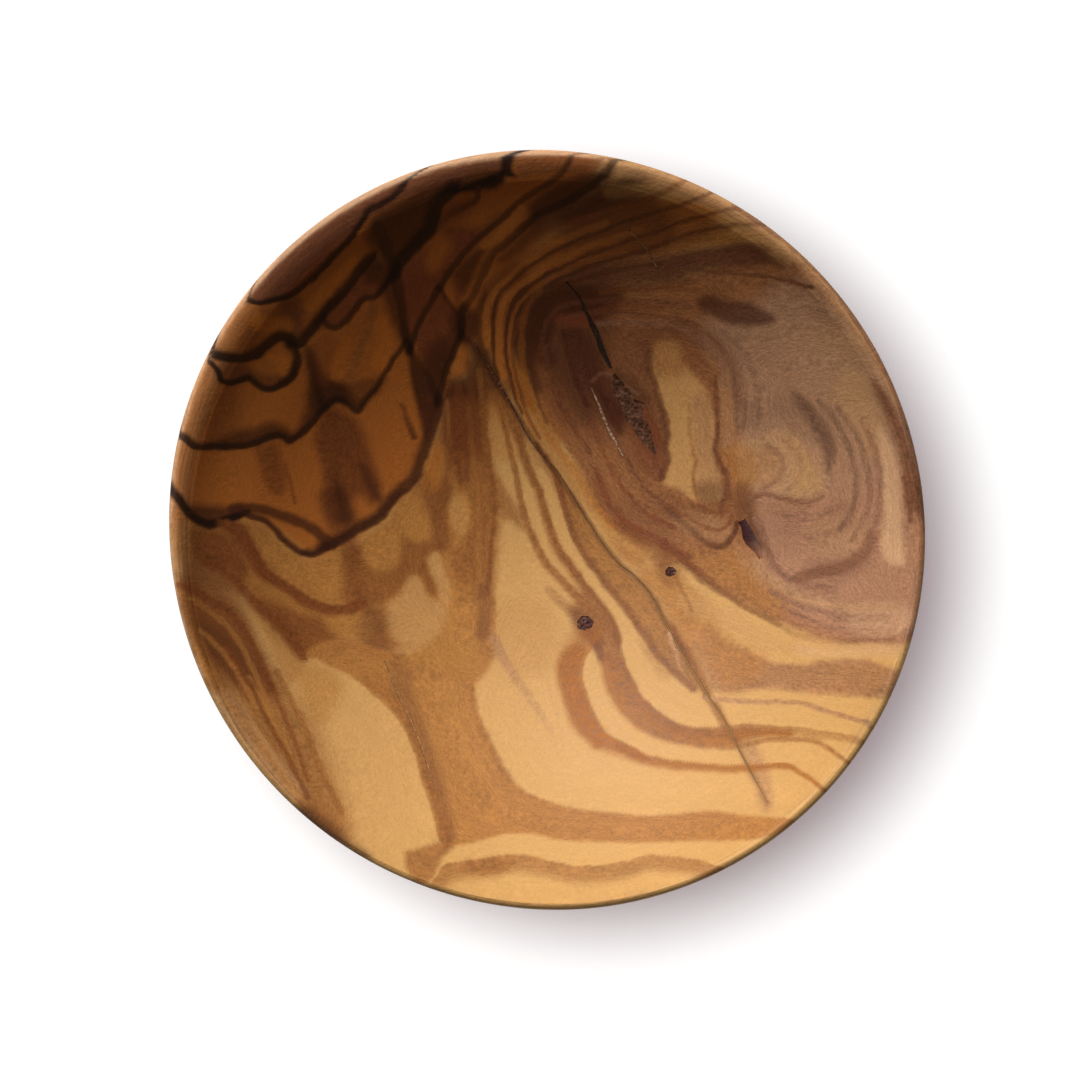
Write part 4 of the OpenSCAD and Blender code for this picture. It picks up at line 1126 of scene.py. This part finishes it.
# The growth layers run down through the wood and lean over a little, so the outside shows the same
# figure, turned more towards the foot.
lean_most, lean_from, lean_over = math.radians(14), 3.2 * mm, 5 * mm
places = np.empty(len(dish.data.vertices) * 3)
dish.data.vertices.foreach_get("co", places)
places = places.reshape(-1, 3)
under_hollow = np.linalg.norm(places - [hollow_x, hollow_y, hollow_z], axis=1) - hollow_r
lean = lean_most * np.clip((under_hollow - lean_from) / lean_over, 0, 1)
x = places[:, 0] * np.cos(lean) - places[:, 1] * np.sin(lean)
y = places[:, 0] * np.sin(lean) + places[:, 1] * np.cos(lean)
on_photo = photo_middle + np.stack([x, -y], 1) / photo_pixel
figure_and_painted_light = dish.data.attributes.new("figure_and_painted_light", "FLOAT_COLOR", "POINT")
figure_and_painted_light.data.foreach_set("color", figure_and_painted_light_colours(on_photo).ravel())
growth = dish.data.attributes.new("growth", "FLOAT", "POINT")
growth.data.foreach_set("value", layer_at(on_photo) * photo_pixel / mm)


def add(tree, kind, settings={}, links={}):
    """Adds a shader node with its settings and links."""
    made = tree.nodes.new("ShaderNode" + kind)
    for name, value in settings.items():
        if isinstance(name, str) and hasattr(made, name):
            setattr(made, name, value)
        else:
            made.inputs[name].default_value = value
    for socket, source in links.items():
        tree.links.new(source, made.inputs[socket])
    return made


def new_material(name):
    """A material with an empty tree, and the tree."""
    made = bpy.data.materials.new(name)
    made.use_nodes = True
    made.node_tree.nodes.clear()
    return made, made.node_tree


# Olive wood, turned, sanded and oiled: dense and silky, with fine growth lines and short pores along
# them, faint sanding rings that show most on the lip, and a satin shine. Lines, pores and rings are
# drawn 0.2 to 0.4 mm wide, wider than real ones, to show.
speckle_size, lip_blend = 0.3846, 0.3   # mm
olive_wood, tree = new_material("oiled_olive_wood")
drawn = add(tree, "Attribute", {"attribute_name": "figure_and_painted_light"})
layer = add(tree, "Attribute", {"attribute_name": "growth"})
spot = add(tree, "TexCoord")
in_mm = add(tree, "Mapping", {"Scale": (1 / mm, 1 / mm, 1 / mm)}, {"Vector": spot.outputs["Object"]})
place = add(tree, "SeparateXYZ", {}, {0: in_mm.outputs[0]})
grown = add(tree, "CombineXYZ", {},
            {"X": place.outputs["X"], "Y": place.outputs["Y"], "Z": layer.outputs["Fac"]})
from_axis = add(tree, "VectorMath", {"operation": "SUBTRACT", 1: (hollow_x / mm, hollow_y / mm, 0)},
                {0: in_mm.outputs[0]})
from_axis = add(tree, "VectorMath", {"operation": "MULTIPLY", 1: (1, 1, 0)}, {0: from_axis.outputs[0]})
radius = add(tree, "VectorMath", {"operation": "LENGTH"}, {0: from_axis.outputs[0]})
turned = add(tree, "CombineXYZ", {},
             {"X": place.outputs["X"], "Y": place.outputs["Y"], "Z": radius.outputs["Value"]})
# Each mark has its length along the grain or the turning, and its width across it, in mm.
marks = {}
for mark, source, long, wide, detail in (("lines", grown, 2.6, 0.38, 2.0), ("bands", grown, 12, 2.2, 2.0),
                                         ("pores", grown, 0.8, 0.22, 1.0), ("rings", turned, 9, 0.3, 2.0)):
    scaled = add(tree, "Mapping", {"Scale": (1 / long, 1 / long, 1 / wide)}, {"Vector": source.outputs[0]})
    noise = add(tree, "TexNoise", {"Scale": 1.0, "Detail": detail, "Roughness": 0.6},
                {"Vector": scaled.outputs[0]})
    marks[mark] = add(tree, "MapRange", {"From Min": 0.28, "From Max": 0.72, "To Min": -1.0, "To Max": 1.0},
                      {"Value": noise.outputs["Fac"]})
speckle = add(tree, "TexNoise", {"Scale": 1 / speckle_size, "Detail": 2.0, "Roughness": 0.7},
              {"Vector": in_mm.outputs[0]})
marks["speckle"] = add(tree, "MapRange", {"From Min": 0.3, "From Max": 0.7, "To Min": -1.0, "To Max": 1.0},
                       {"Value": speckle.outputs["Fac"]})
on_lip = add(tree, "MapRange", {"From Min": mouth_r / mm - lip_blend, "From Max": mouth_r / mm + lip_blend},
             {"Value": radius.outputs["Value"]})
fine = add(tree, "Math", {"operation": "MULTIPLY", 1: 0.17}, {0: marks["lines"].outputs[0]})
for mark, strength in (("bands", 0.08), ("pores", 0.2), ("speckle", 0.16)):
    fine = add(tree, "Math", {"operation": "MULTIPLY_ADD", 1: strength},
               {0: marks[mark].outputs[0], 2: fine.outputs[0]})
fine = add(tree, "Math", {"operation": "MULTIPLY"}, {0: fine.outputs[0], 1: drawn.outputs["Alpha"]})
ring_strength = add(tree, "MapRange", {"To Min": 0.03, "To Max": 0.22}, {"Value": on_lip.outputs[0]})
fine = add(tree, "Math", {"operation": "MULTIPLY_ADD"},
           {0: marks["rings"].outputs[0], 1: ring_strength.outputs[0], 2: fine.outputs[0]})
fine = add(tree, "Math", {"operation": "MULTIPLY_ADD", 1: 0.03},
           {0: marks["speckle"].outputs[0], 2: fine.outputs[0]})
fine = add(tree, "Math", {"operation": "ADD", 1: 1.0}, {0: fine.outputs[0]})
# The base colour: the wood's tones with their fine marks, and the painted light and shade along the lip's
# outer edge.
wood_and_painted_light_colour = add(tree, "VectorMath", {"operation": "SCALE"},
                  {0: drawn.outputs["Color"], "Scale": fine.outputs[0]})
shine = add(tree, "MapRange", {"From Min": -1.0, "From Max": 1.0, "To Min": 0.5, "To Max": 0.62},
            {"Value": marks["pores"].outputs[0]})
pored = add(tree, "Bump", {"Strength": 0.15, "Distance": 0.1 * mm}, {"Height": marks["pores"].outputs[0]})
body = add(tree, "BsdfPrincipled", {"IOR": 1.45, "Specular IOR Level": 0.3},
           {"Base Color": wood_and_painted_light_colour.outputs[0], "Roughness": shine.outputs[0], "Normal": pored.outputs[0]})
add(tree, "OutputMaterial", {}, {"Surface": body.outputs[0]})
dish.data.materials.clear()
dish.data.materials.append(olive_wood)
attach(dish, "root")
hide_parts("dish_body")


# Crack fillings: drying cracks were filled with glue and wood dust and sanded flush. The filler set
# dark, with paler specks of dust and small sunk spots.
def crack_filler(name, dark, pale, pale_share, end=None):
    """Glue and wood dust: dark, dull and grainy, with specks of about 0.5 mm. It may pale to a lower end."""
    speck_size, pale_from, pale_to = 0.5263 * mm, 16 * mm, -14 * mm
    made, tree = new_material(name)
    spot = add(tree, "TexCoord")
    specks = add(tree, "TexNoise", {"Scale": 1 / speck_size, "Detail": 3.0, "Roughness": 0.7},
                 {"Vector": spot.outputs["Object"]})
    pale_above = 0.66 - 0.3 * pale_share
    share = add(tree, "MapRange", {"From Min": pale_above, "From Max": pale_above + 0.1},
                {"Value": specks.outputs["Fac"]})
    colour = add(tree, "MixRGB", {"Color1": (*to_linear(dark), 1), "Color2": (*to_linear(pale), 1)},
                 {"Fac": share.outputs[0]})
    if end:
        height = add(tree, "SeparateXYZ", {}, {"Vector": spot.outputs["Object"]})
        down = add(tree, "MapRange", {"From Min": pale_from, "From Max": pale_to},
                   {"Value": height.outputs["Y"]})
        colour = add(tree, "MixRGB", {"Color2": (*to_linear(end), 1)},
                     {"Fac": down.outputs[0], "Color1": colour.outputs[0]})
    rough = add(tree, "MapRange", {"To Min": 0.6, "To Max": 0.85}, {"Value": specks.outputs["Fac"]})
    grains = add(tree, "Bump", {"Strength": 0.5, "Distance": 0.2 * mm}, {"Height": specks.outputs["Fac"]})
    body = add(tree, "BsdfPrincipled", {"IOR": 1.45, "Specular IOR Level": 0.3},
               {"Base Color": colour.outputs[0], "Roughness": rough.outputs[0], "Normal": grains.outputs[0]})
    add(tree, "OutputMaterial", {}, {"Surface": body.outputs[0]})
    return made


def fit(piece, node, material):
    """Puts a piece in the scene in place of its CAD node."""
    bpy.context.scene.collection.objects.link(piece)
    piece.data.shade_smooth()
    piece.data.set_sharp_from_angle(angle=math.radians(50))
    piece.data.materials.append(material)
    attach(piece, "root")
    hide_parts(node)


def sunk(s, t, xy):
    """The filler shrank as it set, so its face lies a little low and uneven, most in the middle."""
    low, hollowed, uneven = 0.03, 0.07, 0.03
    return (-low - hollowed * (1 - s ** 2) + uneven * soft_noise(xy / mm, size=0.5, seed=21)) * mm


fill_gap, fill_depth, fill_cells = 0.03 * mm, 2.3 * mm, 6
fills = {
    "long_crack_fill": crack_filler("dark_crack_filler", "#4a3020", "#8a6040", 0.5, "#8f6a3c"),
    "heart_crack_fill": crack_filler("black_crack_filler", "#2a1a12", "#4a3020", 0.3),
    "heart_split_fill": crack_filler("pale_crack_filler", "#7d5a42", "#b5977c", 0.7),
    "left_hairline_fill": crack_filler("straw_crack_filler", "#8a5f38", "#a97a48", 0.5),
    "top_hairline_fill": crack_filler("brown_crack_filler", "#6a4626", "#97703f", 0.5),
}
for node, filler in fills.items():
    filling = inlay(node, fill_cells, fill_gap, sunk, fill_depth)
    filling.name = node.replace("_fill", "_filling")
    fit(filling, node, filler)


# Bark pocket: bark that the tree grew over, cut through by the tool. Crumbly red-brown flakes, with
# a rough broken face a little below the wood.
flake_size, crumb_size = 0.7143 * mm, 0.4545 * mm
bark, tree = new_material("broken_bark")
spot = add(tree, "TexCoord")
flakes = add(tree, "TexVoronoi", {"Scale": 1 / flake_size, "feature": "F1"},
             {"Vector": spot.outputs["Object"]})
crumbs = add(tree, "TexNoise", {"Scale": 1 / crumb_size, "Detail": 4.0, "Roughness": 0.7},
             {"Vector": spot.outputs["Object"]})
ramp = add(tree, "ValToRGB", {}, {"Fac": crumbs.outputs["Fac"]})
ramp.color_ramp.elements[0].position, ramp.color_ramp.elements[1].position = 0.36, 0.72
ramp.color_ramp.elements[0].color = (*to_linear("#3a2215"), 1)
ramp.color_ramp.elements[1].color = (*to_linear("#8a5a3e"), 1)
ramp.color_ramp.elements.new(0.52).color = (*to_linear("#5c3a26"), 1)
height = add(tree, "Math", {"operation": "ADD"}, {0: flakes.outputs["Distance"], 1: crumbs.outputs["Fac"]})
broken = add(tree, "Bump", {"Strength": 0.5, "Distance": 0.3 * mm}, {"Height": height.outputs[0]})
body = add(tree, "BsdfPrincipled", {"IOR": 1.45, "Specular IOR Level": 0.3, "Roughness": 0.8},
           {"Base Color": ramp.outputs[0], "Normal": broken.outputs[0]})
add(tree, "OutputMaterial", {}, {"Surface": body.outputs[0]})


def broken_face(s, t, xy):
    """Bark broke away in flakes, deepest in the middle."""
    low, broken_out, crumbly = 0.08, 0.16, 0.1
    lumps, bits = soft_noise(xy / mm, size=0.7, seed=31), soft_noise(xy / mm, size=0.35, seed=32)
    return (-low - broken_out * (1 - s ** 2) * (1 + lumps) + crumbly * bits) * mm


grown_gap, grown_depth, bark_cells = 0.04 * mm, 2.9 * mm, 16
pocket_bark = inlay("bark_pocket", bark_cells, grown_gap, broken_face, grown_depth)
pocket_bark.name = "pocket_bark"
fit(pocket_bark, "bark_pocket", bark)


# Knots: dead twigs that the trunk grew round, hard and dark, with a ring of bark, a redder middle
# and drying cracks from the middle out. The long one was cut along its length.
grain_size, speck_size = 0.4167 * mm, 0.3125 * mm
knot_wood, tree = new_material("dead_knot_wood")
spot = add(tree, "TexCoord")
across = add(tree, "VectorMath", {"operation": "SUBTRACT", 1: (0.5, 0.5, 0.5)},
             {0: spot.outputs["Generated"]})
across = add(tree, "VectorMath", {"operation": "MULTIPLY", 1: (2, 2, 0)}, {0: across.outputs[0]})
out = add(tree, "VectorMath", {"operation": "LENGTH"}, {0: across.outputs[0]})
grains = add(tree, "TexNoise", {"Scale": 1 / grain_size, "Detail": 3.0, "Roughness": 0.65},
             {"Vector": spot.outputs["Object"]})
shift = add(tree, "Math", {"operation": "MULTIPLY_ADD", 1: 0.9, 2: -0.45}, {0: grains.outputs["Fac"]})
where = add(tree, "Math", {"operation": "ADD"}, {0: out.outputs["Value"], 1: shift.outputs[0]})
ramp = add(tree, "ValToRGB", {}, {"Fac": where.outputs[0]})
ramp.color_ramp.elements[0].position, ramp.color_ramp.elements[1].position = 0.15, 0.62
ramp.color_ramp.elements[0].color = (*to_linear("#5a2c22"), 1)
ramp.color_ramp.elements[1].color = (*to_linear("#442417"), 1)
ramp.color_ramp.elements.new(0.38).color = (*to_linear("#37171a"), 1)
specks = add(tree, "TexNoise", {"Scale": 1 / speck_size, "Detail": 2.0, "Roughness": 0.6},
             {"Vector": spot.outputs["Object"]})
share = add(tree, "MapRange", {"From Min": 0.6, "From Max": 0.7, "To Max": 0.8},
            {"Value": specks.outputs["Fac"]})
colour = add(tree, "MixRGB", {"Color2": (*to_linear("#a5735c"), 1)},
             {"Fac": share.outputs[0], "Color1": ramp.outputs[0]})
rings = add(tree, "Bump", {"Strength": 0.5, "Distance": 0.2 * mm}, {"Height": grains.outputs["Fac"]})
body = add(tree, "BsdfPrincipled", {"IOR": 1.45, "Specular IOR Level": 0.3, "Roughness": 0.65},
           {"Base Color": colour.outputs[0], "Normal": rings.outputs[0]})
add(tree, "OutputMaterial", {}, {"Surface": body.outputs[0]})

# The long knot is wine red at its upper left, olive brown along its right and fades to a pinkish tail.
twig_wood, tree = new_material("dead_twig_wood")
spot = add(tree, "TexCoord")
fibres = add(tree, "TexNoise", {"Scale": 1 / grain_size, "Detail": 3.0, "Roughness": 0.65},
             {"Vector": spot.outputs["Object"]})
place = add(tree, "SeparateXYZ", {}, {0: spot.outputs["Generated"]})
across = add(tree, "Math", {"operation": "MULTIPLY_ADD", 1: 0.6},
             {0: fibres.outputs["Fac"], 2: place.outputs["X"]})
along = add(tree, "Math", {"operation": "MULTIPLY_ADD", 1: 0.4},
            {0: fibres.outputs["Fac"], 2: place.outputs["Y"]})
to_right = add(tree, "MapRange", {"From Min": 0.65, "From Max": 1.0}, {"Value": across.outputs[0]})
to_tail = add(tree, "MapRange", {"From Min": 0.7, "From Max": 0.3}, {"Value": along.outputs[0]})
colour = add(tree, "MixRGB", {"Color1": (*to_linear("#3a1a1a"), 1), "Color2": (*to_linear("#443624"), 1)},
             {"Fac": to_right.outputs[0]})
colour = add(tree, "MixRGB", {"Color2": (*to_linear("#8a5a44"), 1)},
             {"Fac": to_tail.outputs[0], "Color1": colour.outputs[0]})
split = add(tree, "Bump", {"Strength": 0.5, "Distance": 0.2 * mm}, {"Height": fibres.outputs["Fac"]})
body = add(tree, "BsdfPrincipled", {"IOR": 1.45, "Specular IOR Level": 0.3, "Roughness": 0.65},
           {"Base Color": colour.outputs[0], "Normal": split.outputs[0]})
add(tree, "OutputMaterial", {}, {"Surface": body.outputs[0]})


def cracked_end(s, t, xy):
    """A twig's end: lower at its rim, with three cracks that close towards the rim."""
    low, rounded, crack_depth, crack_sharpness, uneven = 0.05, 0.12, 0.2, 12, 0.04
    cracks = (1 - s) * np.abs(np.sin(3 * math.pi * t)) ** crack_sharpness
    rough = uneven * soft_noise(xy / mm, size=0.4, seed=41)
    return (-low - rounded * s ** 2 - crack_depth * cracks + rough) * mm


def cut_along(s, t, xy):
    """A twig's side: lower along both edges and a little rough."""
    low, rounded, uneven = 0.05, 0.15, 0.05
    return (-low - rounded * s ** 2 + uneven * soft_noise(xy / mm, size=0.4, seed=42)) * mm


for node, piece_name, cells, top, wood in (("lower_knot", "lower_pin_knot", 24, cracked_end, knot_wood),
                                           ("small_knot", "small_pin_knot", 20, cracked_end, knot_wood),
                                           ("long_knot", "long_twig_knot", 12, cut_along, twig_wood)):
    knot = inlay(node, cells, grown_gap, top, grown_depth)
    knot.name = piece_name
    fit(knot, node, wood)


# Studio: a plain white floor, a soft key lamp on the dish from the top, a little to the left, a high
# soft lamp for the floor, and the camera straight above. The floor lies just clear of the foot.
floor_h, floor_half = -0.1 * mm, 2.0
corners = [(x * floor_half, y * floor_half, floor_h) for x, y in ((-1, -1), (1, -1), (1, 1), (-1, 1))]
floor_mesh = bpy.data.meshes.new("floor")
floor_mesh.from_pydata(corners, [], [(0, 1, 2, 3)])
floor = bpy.data.objects.new("floor", floor_mesh)
bpy.context.scene.collection.objects.link(floor)

# Matt white board: even and without shine. To the camera it shows pure white, and grey in the shadow.
white_board, tree = new_material("matt_white_board")
path = add(tree, "LightPath")
paper = add(tree, "BsdfDiffuse", {"Color": (*to_linear("#dce2df"), 1)})
glow = add(tree, "Emission", {"Color": (*to_linear("#978b91"), 1)})
bright = add(tree, "AddShader", {}, {0: paper.outputs[0], 1: glow.outputs[0]})
board = add(tree, "MixShader", {},
            {"Fac": path.outputs["Is Camera Ray"], 1: paper.outputs[0], 2: bright.outputs[0]})
add(tree, "OutputMaterial", {}, {"Surface": board.outputs[0]})
floor_mesh.materials.append(white_board)

world = bpy.data.worlds.new("studio")
bpy.context.scene.world = world
world.use_nodes = True
tree = world.node_tree
tree.nodes.clear()
path = add(tree, "LightPath")
daylight = add(tree, "MapRange", {"To Min": 0.05, "To Max": 1.0}, {"Value": path.outputs["Is Camera Ray"]})
sky = add(tree, "Background", {"Color": (*to_linear("#ffffff"), 1)}, {"Strength": daylight.outputs[0]})
add(tree, "OutputWorld", {}, {"Surface": sky.outputs[0]})

# Each lamp has its place round the dish and above it, and its softness, in degrees.
on_dish = bpy.data.collections.new("lit_by_key")
for piece in bpy.context.scene.objects:
    if piece.type == "MESH" and piece is not floor:
        on_dish.objects.link(piece)
on_floor = bpy.data.collections.new("lit_by_floor_lamp")
on_floor.objects.link(floor)
for name, turn, height, strength, softness, lit in (("key", 112, 38.5, 4.3, 34, on_dish),
                                                    ("floor_lamp", 150, 76, 3.2, 26, on_floor)):
    lamp = bpy.data.objects.new(name, bpy.data.lights.new(name, "SUN"))
    lamp.data.energy, lamp.data.angle = strength, math.radians(softness)
    lamp.rotation_euler = (0, math.radians(90 - height), math.radians(turn))
    lamp.light_linking.receiver_collection = lit
    bpy.context.scene.collection.objects.link(lamp)

camera = bpy.data.objects.new("camera", bpy.data.cameras.new("camera"))
camera_height = 3.0
frame_centre = np.full(2, photo_size / 2)
camera.location = (*((frame_centre - photo_middle) * [1, -1] * photo_pixel), dish_h + camera_height)
camera.data.lens = camera.data.sensor_width / (photo_size * photo_pixel / camera_height)
camera.data.clip_end = 20
bpy.context.scene.collection.objects.link(camera)
bpy.context.scene.camera = camera
bpy.context.scene.view_settings.view_transform = "Standard"
